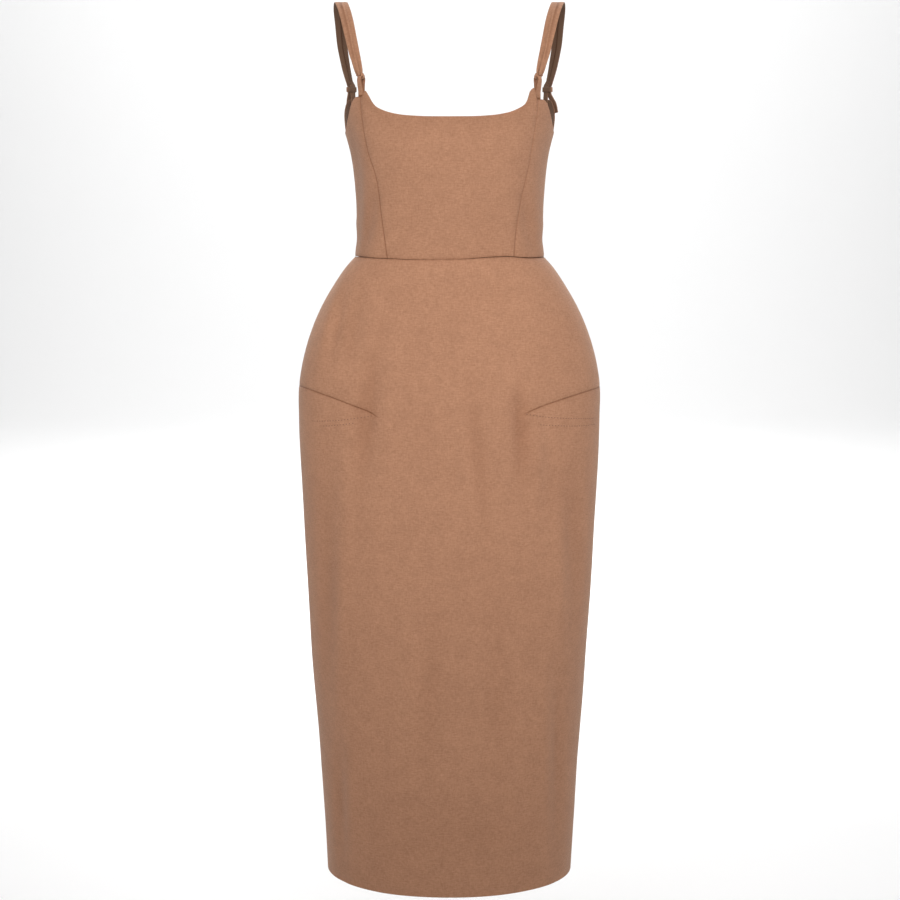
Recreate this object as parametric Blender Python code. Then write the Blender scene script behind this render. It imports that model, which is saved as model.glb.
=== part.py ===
"""A sculpted slip dress: fitted princess-seamed bodice, rounded hips, pencil skirt and looped straps.

Metres, +Z up. The dress faces -Y and the wearer's left is +X. The origin is midway between the
undersides of the two shoulder straps, where the wearer holds the dress up.
"""

import math

import bmesh
import bpy
import numpy as np

# Cloth and seams
WALL = 0.0020  # a panel with its facing or turned edge
GAP = 0.0003  # between two pieces sewn edge to edge, or lying on each other
SEAM_PROBE = 1e-4  # step used to read the direction of a surface
SETTLE_STEPS = 30  # rounds of finding where a grid line meets an edge or the dart

# Heights, from the underside of the straps on the shoulders
WAIST = -0.3310
HEM = -1.1690
CORNER_TOP = -0.1180  # top of the bodice where the front strap loop is sewn
BACK_CORNER_TOP = -0.1225
BACK_NECK = -0.1660
VENT_TOP = -0.9700  # centre-back walking vent
VENT_HALF_OPEN = 0.0015  # each edge from the middle, at the hem

# One row per horizontal section. Depths are the y of the centre front and centre back; power is the
# superellipse power of the front or back half, 2 being round and more being squarer.
SECTION_COLUMNS = ("level", "half_width", "widest_y", "front_y", "back_y", "front_power", "back_power")
BODICE_SECTIONS = (
    (-0.100, 0.1400, 0.024, -0.098, 0.077, 2.7, 2.9),
    (-0.142, 0.1434, 0.022, -0.107, 0.085, 2.7, 2.8),
    (-0.160, 0.1402, 0.018, -0.110, 0.087, 2.6, 2.7),
    (-0.195, 0.1312, 0.006, -0.112, 0.088, 2.5, 2.5),
    (-0.243, 0.1254, 0.000, -0.106, 0.083, 2.4, 2.4),
    (-0.290, 0.1240, 0.000, -0.099, 0.080, 2.3, 2.3),
    (-0.331, 0.1264, 0.000, -0.094, 0.080, 2.3, 2.3),
)
SKIRT_SECTIONS = (
    (-0.331, 0.1264, 0.000, -0.094, 0.080, 2.3, 2.3),
    (-0.341, 0.1355, 0.000, -0.097, 0.084, 2.3, 2.3),
    (-0.370, 0.1553, 0.000, -0.102, 0.094, 2.3, 2.3),
    (-0.405, 0.1743, 0.000, -0.107, 0.105, 2.3, 2.3),
    (-0.437, 0.1872, 0.000, -0.111, 0.114, 2.3, 2.3),
    (-0.469, 0.1964, 0.000, -0.115, 0.121, 2.3, 2.3),
    (-0.503, 0.2021, 0.000, -0.118, 0.126, 2.25, 2.3),
    (-0.545, 0.2024, 0.000, -0.121, 0.128, 2.2, 2.25),
    (-0.640, 0.1990, 0.000, -0.124, 0.128, 2.15, 2.2),
    (-0.783, 0.1910, 0.000, -0.129, 0.125, 2.1, 2.15),
    (-0.960, 0.1802, 0.000, -0.133, 0.121, 2.1, 2.1),
    (-1.169, 0.1675, 0.000, -0.137, 0.117, 2.1, 2.1),
)

# Where the seams run: (level, x on the front or back of the bodice)
FRONT_PRINCESS = (
    (-0.117, 0.1145),
    (-0.140, 0.1105),
    (-0.165, 0.1075),
    (-0.191, 0.1030),
    (-0.216, 0.0980),
    (-0.242, 0.0940),
    (-0.267, 0.0905),
    (-0.300, 0.0862),
    (-0.331, 0.0825),
)
BACK_PRINCESS = (
    (-0.119, 0.1330),
    (-0.150, 0.1200),
    (-0.200, 0.1000),
    (-0.260, 0.0830),
    (-0.331, 0.0740),
)

# Top edges: (x, level) along the two necklines, (share of the panel, level) along the armhole
FRONT_NECKLINE = (
    (0.0000, -0.1490),
    (0.0400, -0.1482),
    (0.0640, -0.1455),
    (0.0790, -0.1415),
    (0.0890, -0.1370),
    (0.0960, -0.1312),
    (0.1010, -0.1245),
    (0.1060, -0.1192),
    (0.1150, CORNER_TOP),
)
BACK_NECKLINE = (
    (0.0000, -0.1660),
    (0.0500, -0.1645),
    (0.0800, -0.1590),
    (0.0990, -0.1490),
    (0.1120, -0.1360),
    (0.1210, -0.1265),
    (0.1260, -0.1230),
    (0.1330, BACK_CORNER_TOP),
)
FRONT_ARMHOLE = (
    (0.00, CORNER_TOP),
    (0.10, -0.1198),
    (0.20, -0.1275),
    (0.34, -0.1415),
    (0.48, -0.1530),
    (0.64, -0.1625),
    (0.82, -0.1670),
    (1.00, -0.1680),
)
BACK_ARMHOLE = (
    (0.00, -0.1680),
    (0.08, -0.1640),
    (0.16, -0.1555),
    (0.26, -0.1450),
    (0.40, -0.1345),
    (0.60, -0.1262),
    (0.82, -0.1230),
    (1.00, BACK_CORNER_TOP),
)

# Hip darts: (x, level) from the side seam in to the point
HIP_DART = (
    (0.0985, -0.5290),
    (0.1100, -0.5235),
    (0.1330, -0.5160),
    (0.1650, -0.5080),
    (0.1900, -0.5035),
    (0.2030, -0.5030),
)
DART_POINT_X = HIP_DART[0][0]

# Grid lines of the panels, as shares across and up
CENTRE_FRONT_ACROSS = (0.0, 0.2, 0.4, 0.56, 0.68, 0.77, 0.84, 0.89, 0.93, 0.965, 1.0)
SIDE_FRONT_ACROSS = (0.0, 0.10, 0.20, 0.34, 0.48, 0.64, 0.82, 1.0)
SIDE_BACK_ACROSS = (0.0, 0.08, 0.16, 0.26, 0.40, 0.60, 0.82, 1.0)
BACK_ACROSS = (0.0, 0.05, 0.10, 0.16, 0.24, 0.34, 0.46, 0.60, 0.76, 0.90, 1.0)
BODICE_UP = (0.0, 0.14, 0.28, 0.42, 0.56, 0.70, 0.84, 0.93, 1.0)
SKIRT_HALF_COLUMNS = 11  # from centre front to the side seam, and as many behind
SKIRT_BELOW_DART = (0.0, 0.07, 0.20, 0.35, 0.50, 0.65, 0.78, 0.88, 0.95, 1.0)
SKIRT_ABOVE_DART = (0.0, 0.12, 0.28, 0.45, 0.62, 0.78, 0.90, 0.97, 1.0)

# Straps: one narrow band per shoulder, doubled through a front loop and held by a back keeper
BAND_WIDTH = 0.0080
BAND_THICK = 0.0020
BAND_GATHERED = 0.0034  # its width where it is gathered through the loop
LINK_DEPTH = 0.0035  # centre of the loop, inside the bodice's outer face
LINK_SHIFT = 0.0015  # and outboard of the seam
LINK_HALF = 0.0042  # from the loop's middle to each run of the band
LINK_RADIUS = 0.0019
LINK_BOTTOM = -0.1029
LINK_TOP = -0.0960
STRAP_COLUMNS = ("x", "y", "z", "yaw_deg", "spread", "stack", "twist_deg", "width")
STRAP_STATIONS = (
    (0.1168, -0.0655, -0.0870, 38.0, 0.0037, 0.0000, 62.0, 0.0055),
    (0.1203, -0.0648, -0.0770, 30.0, 0.0036, 0.0000, 32.0, 0.0070),
    (0.1252, -0.0610, -0.0620, 20.0, 0.0043, 0.0000, 6.0, 0.0080),
    (0.1330, -0.0450, -0.0280, 8.0, 0.0042, 0.0000, 0.0, 0.0080),
    (0.1385, -0.0250, -0.0075, 3.0, 0.0042, 0.0000, 0.0, 0.0080),
    (0.1434, -0.0020, 0.0010, 0.0, 0.0042, 0.0000, 0.0, 0.0080),
    (0.1462, 0.0190, -0.0065, -3.0, 0.0042, 0.0004, 0.0, 0.0080),
    (0.1460, 0.0350, -0.0260, -10.0, 0.0042, 0.0013, 0.0, 0.0080),
    (0.1440, 0.0455, -0.0520, -18.0, 0.0030, 0.0014, 0.0, 0.0080),
    (0.1395, 0.0515, -0.0780, -26.0, 0.0018, 0.0014, 0.0, 0.0080),
)
STRAP_STEPS = 4  # rings from one station to the next
STATION_PROBE = 0.01  # part of a station, for reading the strap's direction
SEWN_DEPTH = 0.0110  # how far a strap end or a loop reaches down inside the bodice
KEEPER_LEVEL = -0.1095
KEEPER_HEIGHT = 0.0070
KEEPER_WALL = 0.0013
KEEPER_CLEAR = 0.0049  # from its middle to where both runs of the band are free of it
PINCH = (BAND_THICK + GAP) / 2  # from the middle of the wall to each run inside the keeper
TAIL_SHIFT = 0.0020  # the free run lies this far outboard of the sewn one
LOOP_THICK = 0.0016
LOOP_HALF_WIDTH_BASE = 0.0050
LOOP_HALF_WIDTH_NECK = 0.0040
LOOP_HALF_WIDTH_TOP = 0.0026
LOOP_RADIUS = 0.0034
LOOP_CENTRE = -0.1034
LOOP_NECK_LEVEL = -0.1090  # where its legs start to narrow towards the fold
LOOP_NECK_INSET = 0.0012
LOOP_ABOVE_EDGE = 0.0015  # its legs stay flat this far above the bodice edge
TAIL_REACH = {"left": (0.0085, 0.0035), "right": (0.0010, 0.0010)}  # end of the tail: outboard, outward
TAIL_LENGTH = 0.0310
TAIL_COLUMNS = ("below_edge", "share_outboard", "share_outward")
TAIL_STATIONS = ((-2 * GAP, 0.30, 0.40), (0.0044, 0.60, 0.75))  # between the keeper and the tail's end

# Centre-back zip
TAPE_HALF_WIDTH = 0.0120
TAPE_THICK = 0.0010
TAPE_GAP = 0.0005
TAPE_BELOW_NECK = 0.0030
TAPE_ACROSS = (-1.0, -0.5, 0.0, 0.5, 1.0)
SLIDER = {"half_width": 0.0028, "top": -0.1690, "bottom": -0.1790, "thick": 0.0016}
BRIDGE = {"half_width": 0.0011, "hole": 0.0011, "bar": 0.0009}
ARCH_ANGLES = [math.radians(a) for a in range(0, 181, 30)]
PULL_PIVOT = -0.1745  # level of the pull's bar
PULL = {"half_width": 0.0027, "thick": 0.0009, "rail": 0.0010, "window": 0.0042, "length": 0.0210}
PULL_COLUMNS = ("share_down", "share_wide")  # the tab's outline below its window
PULL_OUTLINE = ((0.34, 0.85), (0.60, 1.00), (0.88, 1.15), (0.97, 0.90), (1.00, 0.60))

# Colours, linear
WOOL = (0.42, 0.235, 0.15)
ZIP_TAPE = (0.30, 0.17, 0.11)
ZIP_METAL = (0.42, 0.30, 0.22)


def remove_all():
    for thing in list(bpy.data.objects):
        bpy.data.objects.remove(thing, do_unlink=True)


def make_material(name, color, roughness, metallic=0.0):
    material = bpy.data.materials.new(name)
    material.use_nodes = True
    shader = material.node_tree.nodes["Principled BSDF"]
    shader.inputs["Base Color"].default_value = (*color, 1.0)
    shader.inputs["Roughness"].default_value = roughness
    shader.inputs["Metallic"].default_value = metallic
    return material


def smooth_table(table, at):
    """Read every column after the first at a value of the first, on a smooth curve through the rows."""
    rows = np.array(sorted(table))
    keys = rows[:, 0]
    at = min(max(at, keys[0]), keys[-1])
    i = min(int(np.searchsorted(keys, at, side="right")) - 1, len(keys) - 2)
    slopes = np.gradient(rows[:, 1:], keys, axis=0)
    step = keys[i + 1] - keys[i]
    t = (at - keys[i]) / step
    a, b = rows[i, 1:], rows[i + 1, 1:]
    u, v = slopes[i] * step, slopes[i + 1] * step
    return (
        a * (2 * t**3 - 3 * t**2 + 1)
        + u * (t**3 - 2 * t**2 + t)
        + b * (3 * t**2 - 2 * t**3)
        + v * (t**3 - t**2)
    )


def section(sections, level):
    return dict(zip(SECTION_COLUMNS[1:], smooth_table(sections, level)))


def surface(sections, turn, level):
    """A point of the outer surface: turn is 0 at centre front, pi/2 at the left side, pi behind."""
    row = section(sections, level)
    half = "front" if math.cos(turn) >= 0 else "back"
    power = row[half + "_power"]
    depth = abs(row[half + "_y"] - row["widest_y"])
    x = row["half_width"] * math.copysign(abs(math.sin(turn)) ** (2 / power), math.sin(turn))
    y = row["widest_y"] - depth * math.copysign(abs(math.cos(turn)) ** (2 / power), math.cos(turn))
    return np.array((x, y, level))


def outward(sections, turn, level):
    """The unit normal of the outer surface, and how fast a point moves as turn grows."""
    lowest, highest = sections[-1][0], sections[0][0]
    below, above = max(level - SEAM_PROBE, lowest), min(level + SEAM_PROBE, highest)
    across = surface(sections, turn + SEAM_PROBE, level) - surface(sections, turn - SEAM_PROBE, level)
    up = surface(sections, turn, above) - surface(sections, turn, below)
    normal = np.cross(across, up)
    return normal / np.linalg.norm(normal), np.linalg.norm(across) / (2 * SEAM_PROBE)


def turn_at(sections, x, level, behind=False):
    """The turn at which the front, or the back, of a section reaches a given x."""
    row = section(sections, level)
    power = row["back_power" if behind else "front_power"]
    turn = math.asin(min(1.0, x / row["half_width"]) ** (power / 2))
    return math.pi - turn if behind else turn


def front_seam(level):
    return turn_at(BODICE_SECTIONS, float(smooth_table(FRONT_PRINCESS, level)[0]), level)


def back_seam(level):
    return turn_at(BODICE_SECTIONS, float(smooth_table(BACK_PRINCESS, level)[0]), level, behind=True)


def side_seam(_level):
    return math.pi / 2


def centre_back(level):
    """The left panel's edge at the centre-back seam, its half of the gap already taken off."""
    return turn_at(BODICE_SECTIONS, GAP / 2, level, behind=True)


def vent_edge(level):
    """The same on the skirt, where the walking vent parts a little towards the hem."""
    share = max(0.0, (VENT_TOP - level) / (VENT_TOP - HEM))
    return turn_at(SKIRT_SECTIONS, GAP / 2 + VENT_HALF_OPEN * share, level, behind=True)


def other_side_seam(_level):
    return -math.pi / 2


def centre_front(_level):
    return 0.0


def edge_level(sections, start, end, share, neckline):
    """The level at which a column of a panel meets a neckline given as level over x."""
    level = neckline[0][1]
    for _ in range(SETTLE_STEPS):
        turn = start(level) + (end(level) - start(level)) * share
        x = abs(surface(sections, turn, level)[0])
        level += 0.5 * (float(smooth_table(neckline, x)[0]) - level)
    return level


def panel_point(sections, start, end, share, level):
    """Outer and inner point of a panel, drawn in by half a seam gap at its seams."""
    first, last = start(level), end(level)
    first += GAP / 2 / outward(sections, first, level)[1]
    if end not in (centre_back, vent_edge):
        last -= GAP / 2 / outward(sections, last, level)[1]
    turn = first + (last - first) * share
    point = surface(sections, turn, level)
    normal = outward(sections, turn, level)[0]
    return point, point - normal * WALL


def solid(name, points, faces, material, mirrored=False):
    """An object of one closed body; a mirrored one is the same piece on the other side."""
    points = np.array(points, float)
    if mirrored:
        points[:, 0] *= -1
        faces = [face[::-1] for face in faces]
    mesh = bpy.data.meshes.new(name)
    mesh.from_pydata(points.tolist(), [], faces)
    shape = bmesh.new()
    shape.from_mesh(mesh)
    bmesh.ops.triangulate(shape, faces=shape.faces[:])
    bmesh.ops.recalc_face_normals(shape, faces=shape.faces[:])
    shape.to_mesh(mesh)
    shape.free()
    mesh.materials.append(material)
    thing = bpy.data.objects.new(name, mesh)
    bpy.context.scene.collection.objects.link(thing)
    return thing


def wall(name, outer, inner, cells, material, mirrored=False):
    """Close an outer and an inner sheet of the same cells with a rim along every free edge."""
    count = len(outer)
    faces = [list(cell) for cell in cells]
    faces += [[corner + count for corner in reversed(cell)] for cell in cells]
    edges = {(cell[i], cell[(i + 1) % 4]) for cell in cells for i in range(4)}
    for a, b in sorted(edges):
        if (b, a) not in edges:
            faces.append([b, a, a + count, b + count])
    return solid(name, list(outer) + list(inner), faces, material, mirrored)


def grid_cells(rows, columns):
    return [
        (j * columns + i, j * columns + i + 1, (j + 1) * columns + i + 1, (j + 1) * columns + i)
        for j in range(rows - 1)
        for i in range(columns - 1)
    ]


def bodice_panel(name, start, end, shares, top_level, material, mirrored=False):
    """A bodice panel from the waist seam up to its own top edge."""
    outer, inner = [], []
    for up in BODICE_UP:
        for share in shares:
            low = WAIST + GAP / 2
            level = low + (top_level(abs(share)) - low) * up
            point, back = panel_point(BODICE_SECTIONS, start, end, share, level)
            outer.append(point)
            inner.append(back)
    cells = grid_cells(len(BODICE_UP), len(shares))
    return wall(name, outer, inner, cells, material, mirrored)


def centre_front_panel(material):
    """The centre front spans both halves, so its seams are given from side to side."""
    shares = [0.5 - s / 2 for s in reversed(CENTRE_FRONT_ACROSS)]
    shares += [0.5 + s / 2 for s in CENTRE_FRONT_ACROSS[1:]]

    def top(share):
        return edge_level(BODICE_SECTIONS, centre_front, front_seam, abs(2 * share - 1), FRONT_NECKLINE)

    return bodice_panel(
        "bodice_centre_front", lambda level: -front_seam(level), front_seam, shares, top, material
    )


def bodice_panels(material):
    centre_front_panel(material)
    for side in ("left", "right"):
        mirrored = side == "right"
        bodice_panel(
            f"bodice_side_front_{side}",
            front_seam,
            side_seam,
            SIDE_FRONT_ACROSS,
            lambda share: float(smooth_table(FRONT_ARMHOLE, share)[0]),
            material,
            mirrored,
        )
        bodice_panel(
            f"bodice_side_back_{side}",
            side_seam,
            back_seam,
            SIDE_BACK_ACROSS,
            lambda share: float(smooth_table(BACK_ARMHOLE, share)[0]),
            material,
            mirrored,
        )
        bodice_panel(
            f"bodice_back_{side}",
            back_seam,
            centre_back,
            BACK_ACROSS,
            lambda share: edge_level(BODICE_SECTIONS, back_seam, centre_back, share, BACK_NECKLINE),
            material,
            mirrored,
        )


def dart_level(x):
    """Level of the hip dart's seam; inside its point the same grid line runs on level."""
    return float(smooth_table(HIP_DART, max(abs(x), DART_POINT_X))[0])


def skirt_rows(dart, top, bottom):
    """Levels of the skirt's grid lines, from the hem up; the dart's own line comes twice."""
    below = [bottom + (dart - bottom) * share for share in SKIRT_BELOW_DART]
    above = [dart + (top - dart) * share for share in SKIRT_ABOVE_DART]
    return below, above


def skirt_front(material):
    """One piece round to both side seams, with a dart sewn in from each."""
    columns = 2 * SKIRT_HALF_COLUMNS + 1
    shares = [i / (columns - 1) for i in range(columns)]
    outer, inner, names = [], [], {}
    dart_row = len(SKIRT_BELOW_DART)
    for i, share in enumerate(shares):
        dart = dart_level(1.0)
        for _ in range(SETTLE_STEPS):
            x = surface(SKIRT_SECTIONS, (share - 0.5) * math.pi, dart)[0]
            dart = dart_level(x)
        open_here = abs(x) > DART_POINT_X
        below, above = skirt_rows(dart, WAIST - GAP / 2, HEM)
        if open_here:
            below[-1] -= GAP / 2
            above[0] += GAP / 2
        for j, level in enumerate(below + above):
            if j == dart_row and not open_here:
                names[j, i] = names[j - 1, i]
                continue
            point, back = panel_point(SKIRT_SECTIONS, other_side_seam, side_seam, share, level)
            names[j, i] = len(outer)
            outer.append(point)
            inner.append(back)
    rows = dart_row + len(SKIRT_ABOVE_DART)
    cells = [
        (names[j, i], names[j, i + 1], names[j + 1, i + 1], names[j + 1, i])
        for j in range(rows - 1)
        if j != dart_row - 1
        for i in range(columns - 1)
    ]
    return wall("skirt_front", outer, inner, cells, material)


def skirt_backs(material):
    """Left and right back, with the same grid lines at the side seam as the front."""
    below, above = skirt_rows(dart_level(1.0), WAIST - GAP / 2, HEM)
    levels = below + above[1:]
    shares = [i / SKIRT_HALF_COLUMNS for i in range(SKIRT_HALF_COLUMNS + 1)]
    for side in ("left", "right"):
        outer, inner = [], []
        for level in levels:
            for share in shares:
                point, back = panel_point(SKIRT_SECTIONS, side_seam, vent_edge, share, level)
                outer.append(point)
                inner.append(back)
        cells = grid_cells(len(levels), len(shares))
        wall(f"skirt_back_{side}", outer, inner, cells, material, side == "right")


def unit(vector):
    return vector / np.linalg.norm(vector)


def corner_frame(seam, level, behind=False):
    """Point on the outer face at a strap corner, with its outboard and outward directions."""
    point = surface(BODICE_SECTIONS, seam(level), level)
    normal = outward(BODICE_SECTIONS, seam(level), level)[0]
    normal = unit(np.array((normal[0], normal[1], 0.0)))
    outboard = np.array((-normal[1], normal[0], 0.0))
    if behind:
        outboard = -outboard
    return point, outboard, normal


def strip(name, stations, material, mirrored=False):
    """A flat band through stations of (centre, width direction, width, thickness)."""
    centres = np.array([station[0] for station in stations])
    tangents = np.gradient(centres, axis=0)
    points, faces = [], []
    for (centre, across, width, thick), tangent in zip(stations, tangents):
        tangent = unit(tangent)
        across = unit(across - tangent * np.dot(across, tangent))
        through = np.cross(tangent, across)
        for a, b in ((-1, -1), (1, -1), (1, 1), (-1, 1)):
            points.append(centre + across * a * width / 2 + through * b * thick / 2)
    for k in range(len(stations) - 1):
        for i in range(4):
            a, b = 4 * k + i, 4 * k + (i + 1) % 4
            faces.append([a, b, b + 4, a + 4])
    last = 4 * (len(stations) - 1)
    faces += [[3, 2, 1, 0], [last, last + 1, last + 2, last + 3]]
    return solid(name, points, faces, material, mirrored)


def strap_run(side_sign):
    """Stations of one run over the shoulder, from above the front loop to above the keeper."""
    rows = [(float(i), *row) for i, row in enumerate(STRAP_STATIONS)]
    stations = []
    for k in range(STRAP_STEPS * (len(rows) - 1) + 1):
        at = k / STRAP_STEPS
        row = dict(zip(STRAP_COLUMNS, smooth_table(rows, at)))
        tangent = smooth_table(rows, at + STATION_PROBE)[:3] - smooth_table(rows, at - STATION_PROBE)[:3]
        tangent = unit(tangent)
        yaw, twist = math.radians(row["yaw_deg"]), math.radians(row["twist_deg"])
        outboard = np.array((math.cos(yaw), math.sin(yaw), 0.0))
        outboard = unit(outboard - tangent * np.dot(outboard, tangent))
        outer = np.cross(tangent, outboard)
        offset = side_sign * (outboard * row["spread"] + outer * row["stack"])
        across = outboard * math.cos(twist) + outer * math.sin(twist)
        centre = np.array((row["x"], row["y"], row["z"])) + offset
        stations.append((centre, across, row["width"], BAND_THICK))
    return stations


def strap(side, material):
    """The band: sewn behind, over the shoulder, through the front loop, back and through the keeper."""
    point, outboard, normal = corner_frame(front_seam, CORNER_TOP)
    middle = point - normal * LINK_DEPTH + outboard * LINK_SHIFT
    turn_centre = LINK_BOTTOM + LINK_RADIUS
    leg = [(LINK_HALF, LINK_TOP)]
    for degrees in (0, 22.5, 45, 67.5, 90):
        a = math.radians(degrees)
        across = LINK_HALF - LINK_RADIUS + LINK_RADIUS * math.cos(a)
        leg.append((across, turn_centre - LINK_RADIUS * math.sin(a)))
    turn = []
    for across, level in [(-across, level) for across, level in leg] + leg[::-1]:
        centre = middle + outboard * across
        centre[2] = level
        turn.append((centre, normal, BAND_GATHERED, BAND_THICK))

    corner, out, normal = corner_frame(back_seam, BACK_CORNER_TOP, behind=True)
    out_side, out_back = TAIL_REACH[side]
    lie = GAP + BAND_THICK / 2
    above, below = KEEPER_LEVEL + KEEPER_CLEAR, KEEPER_LEVEL - KEEPER_CLEAR
    over_edge = BACK_CORNER_TOP + 2 * GAP
    sewn_route = (
        (above, 0.0, -WALL / 2 - PINCH),
        (below, 0.0, -WALL / 2 - PINCH),
        (over_edge, 0.0, -WALL - lie),
        (BACK_CORNER_TOP - SEWN_DEPTH, 0.0, -WALL - lie),
    )
    tail_route = [(above, TAIL_SHIFT, -WALL / 2 + PINCH), (below, TAIL_SHIFT, -WALL / 2 + PINCH)]
    for station in TAIL_STATIONS:
        row = dict(zip(TAIL_COLUMNS, station))
        across = TAIL_SHIFT + row["share_outboard"] * out_side
        depth = lie + row["share_outward"] * out_back
        tail_route.append((BACK_CORNER_TOP - row["below_edge"], across, depth))
    tail_route.append((KEEPER_LEVEL - TAIL_LENGTH, TAIL_SHIFT + out_side, lie + out_back))
    sewn, tail = (
        [
            (np.array((*(corner + out * across + normal * depth)[:2], level)), out, BAND_WIDTH, BAND_THICK)
            for level, across, depth in route
        ]
        for route in (sewn_route, tail_route)
    )
    stations = sewn[::-1] + strap_run(-1)[::-1] + turn + strap_run(1) + tail
    strip(f"strap_{side}", stations, material, side == "right")


def strap_keeper(side, material):
    """A closed ring of cloth round both runs of the band, just above the back corner."""
    point, outboard, normal = corner_frame(back_seam, BACK_CORNER_TOP, behind=True)
    reach = PINCH + BAND_THICK / 2 + GAP
    side_reach = BAND_WIDTH / 2 + GAP
    points = []
    for level in (KEEPER_LEVEL - KEEPER_HEIGHT / 2, KEEPER_LEVEL + KEEPER_HEIGHT / 2):
        for grow in (0.0, KEEPER_WALL):
            for a, b in ((-1, -1), (1, -1), (1, 1), (-1, 1)):
                across = a * (side_reach + grow) + (TAIL_SHIFT if a > 0 else 0.0)
                through = b * (reach + grow) - WALL / 2
                corner = point + outboard * across + normal * through
                corner[2] = level
                points.append(corner)
    faces = []
    for i in range(4):
        j = (i + 1) % 4
        faces += [[i, j, j + 8, i + 8], [i + 4, i + 12, j + 12, j + 4]]
        faces += [[i, i + 4, j + 4, j], [i + 8, j + 8, j + 12, i + 12]]
    solid(f"strap_keeper_{side}", points, faces, material, side == "right")


def strap_loop(side, material):
    """A folded tab sewn inside the front corner; the band passes through its top."""
    point, outboard, normal = corner_frame(front_seam, CORNER_TOP)
    front_leg = -(WALL + GAP + LOOP_THICK / 2)
    back_leg = front_leg - LOOP_THICK - GAP
    front, back = -LINK_DEPTH + LOOP_RADIUS, -LINK_DEPTH - LOOP_RADIUS
    edge = CORNER_TOP + LOOP_ABOVE_EDGE
    point = point + outboard * LINK_SHIFT
    line = [
        (front_leg, CORNER_TOP - SEWN_DEPTH, LOOP_HALF_WIDTH_BASE),
        (front_leg, edge, LOOP_HALF_WIDTH_BASE),
        (front - LOOP_NECK_INSET, LOOP_NECK_LEVEL, LOOP_HALF_WIDTH_NECK),
    ]
    for degrees in range(0, 181, 20):
        a = math.radians(degrees)
        line.append((
            -LINK_DEPTH + LOOP_RADIUS * math.cos(a),
            LOOP_CENTRE + LOOP_RADIUS * math.sin(a),
            LOOP_HALF_WIDTH_TOP,
        ))
    line += [
        (back + LOOP_NECK_INSET, LOOP_NECK_LEVEL, LOOP_HALF_WIDTH_NECK),
        (back_leg, edge, LOOP_HALF_WIDTH_BASE),
        (back_leg, CORNER_TOP - SEWN_DEPTH, LOOP_HALF_WIDTH_BASE),
    ]
    stations = []
    for depth, level, half_width in line:
        centre = point + normal * depth
        centre[2] = level
        stations.append((centre, outboard, 2 * half_width, LOOP_THICK))
    strip(f"strap_loop_{side}", stations, material, side == "right")


def zip_tape(material):
    """Both tapes and the closed coil, behind the centre-back seam from the neck to the hip."""
    rows = [(BODICE_SECTIONS, WAIST + (BACK_NECK - TAPE_BELOW_NECK - WAIST) * up) for up in BODICE_UP]
    low = dart_level(1.0)
    rows = [(SKIRT_SECTIONS, low + (WAIST - low) * up) for up in SKIRT_ABOVE_DART[:-1]] + rows
    outer, inner = [], []
    for sections, level in rows:
        for share in TAPE_ACROSS:
            turn = turn_at(sections, abs(share) * TAPE_HALF_WIDTH, level, behind=True)
            turn = math.copysign(turn, -share)
            normal = outward(sections, turn, level)[0]
            if level == WAIST:
                normal = unit(normal + outward(SKIRT_SECTIONS, turn, level)[0])
            face = surface(sections, turn, level) - normal * (WALL + TAPE_GAP)
            outer.append(face)
            inner.append(face - normal * TAPE_THICK)
    wall("zip_tape", outer, inner, grid_cells(len(rows), len(TAPE_ACROSS)), material)


def prism(name, outline, half_width, material):
    """An outline of (y, z) points drawn out across the dress."""
    count = len(outline)
    points = [(x, y, z) for x in (-half_width, half_width) for y, z in outline]
    faces = [list(range(count)), list(range(2 * count - 1, count - 1, -1))]
    faces += [[i, (i + 1) % count, (i + 1) % count + count, i + count] for i in range(count)]
    return solid(name, points, faces, material)


def slider_face():
    """Where the slider's plate stands on the cloth."""
    levels = (SLIDER["top"], PULL_PIVOT, SLIDER["bottom"])
    return max(surface(BODICE_SECTIONS, math.pi, level)[1] for level in levels) + GAP


def zip_slider(material):
    """A plate on the seam, with a bridge that the pull's bar passes under."""
    inner = slider_face()
    outer = inner + SLIDER["thick"]
    plate = prism(
        "zip_slider",
        (
            (inner, SLIDER["top"]),
            (outer, SLIDER["top"]),
            (outer, SLIDER["bottom"]),
            (inner, SLIDER["bottom"]),
        ),
        SLIDER["half_width"],
        material,
    )
    hole, far = BRIDGE["hole"], BRIDGE["hole"] + BRIDGE["bar"]
    centre = outer + hole
    arch = [(centre - hole - BRIDGE["bar"] / 2, PULL_PIVOT + far)]
    arch += [(centre + far * math.sin(a), PULL_PIVOT + far * math.cos(a)) for a in ARCH_ANGLES]
    arch += [(centre - hole - BRIDGE["bar"] / 2, PULL_PIVOT - far)]
    arch += [(centre - hole - BRIDGE["bar"] / 2, PULL_PIVOT - hole)]
    arch += [(centre + hole * math.sin(a), PULL_PIVOT + hole * math.cos(a)) for a in ARCH_ANGLES[::-1]]
    arch += [(centre - hole - BRIDGE["bar"] / 2, PULL_PIVOT + hole)]
    bridge = prism("zip_bridge_guide", arch, BRIDGE["half_width"], material)
    bridge.hide_render = True
    bridge.display_type = "WIRE"
    join = plate.modifiers.new("bridge", "BOOLEAN")
    join.operation = "UNION"
    join.object = bridge


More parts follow.
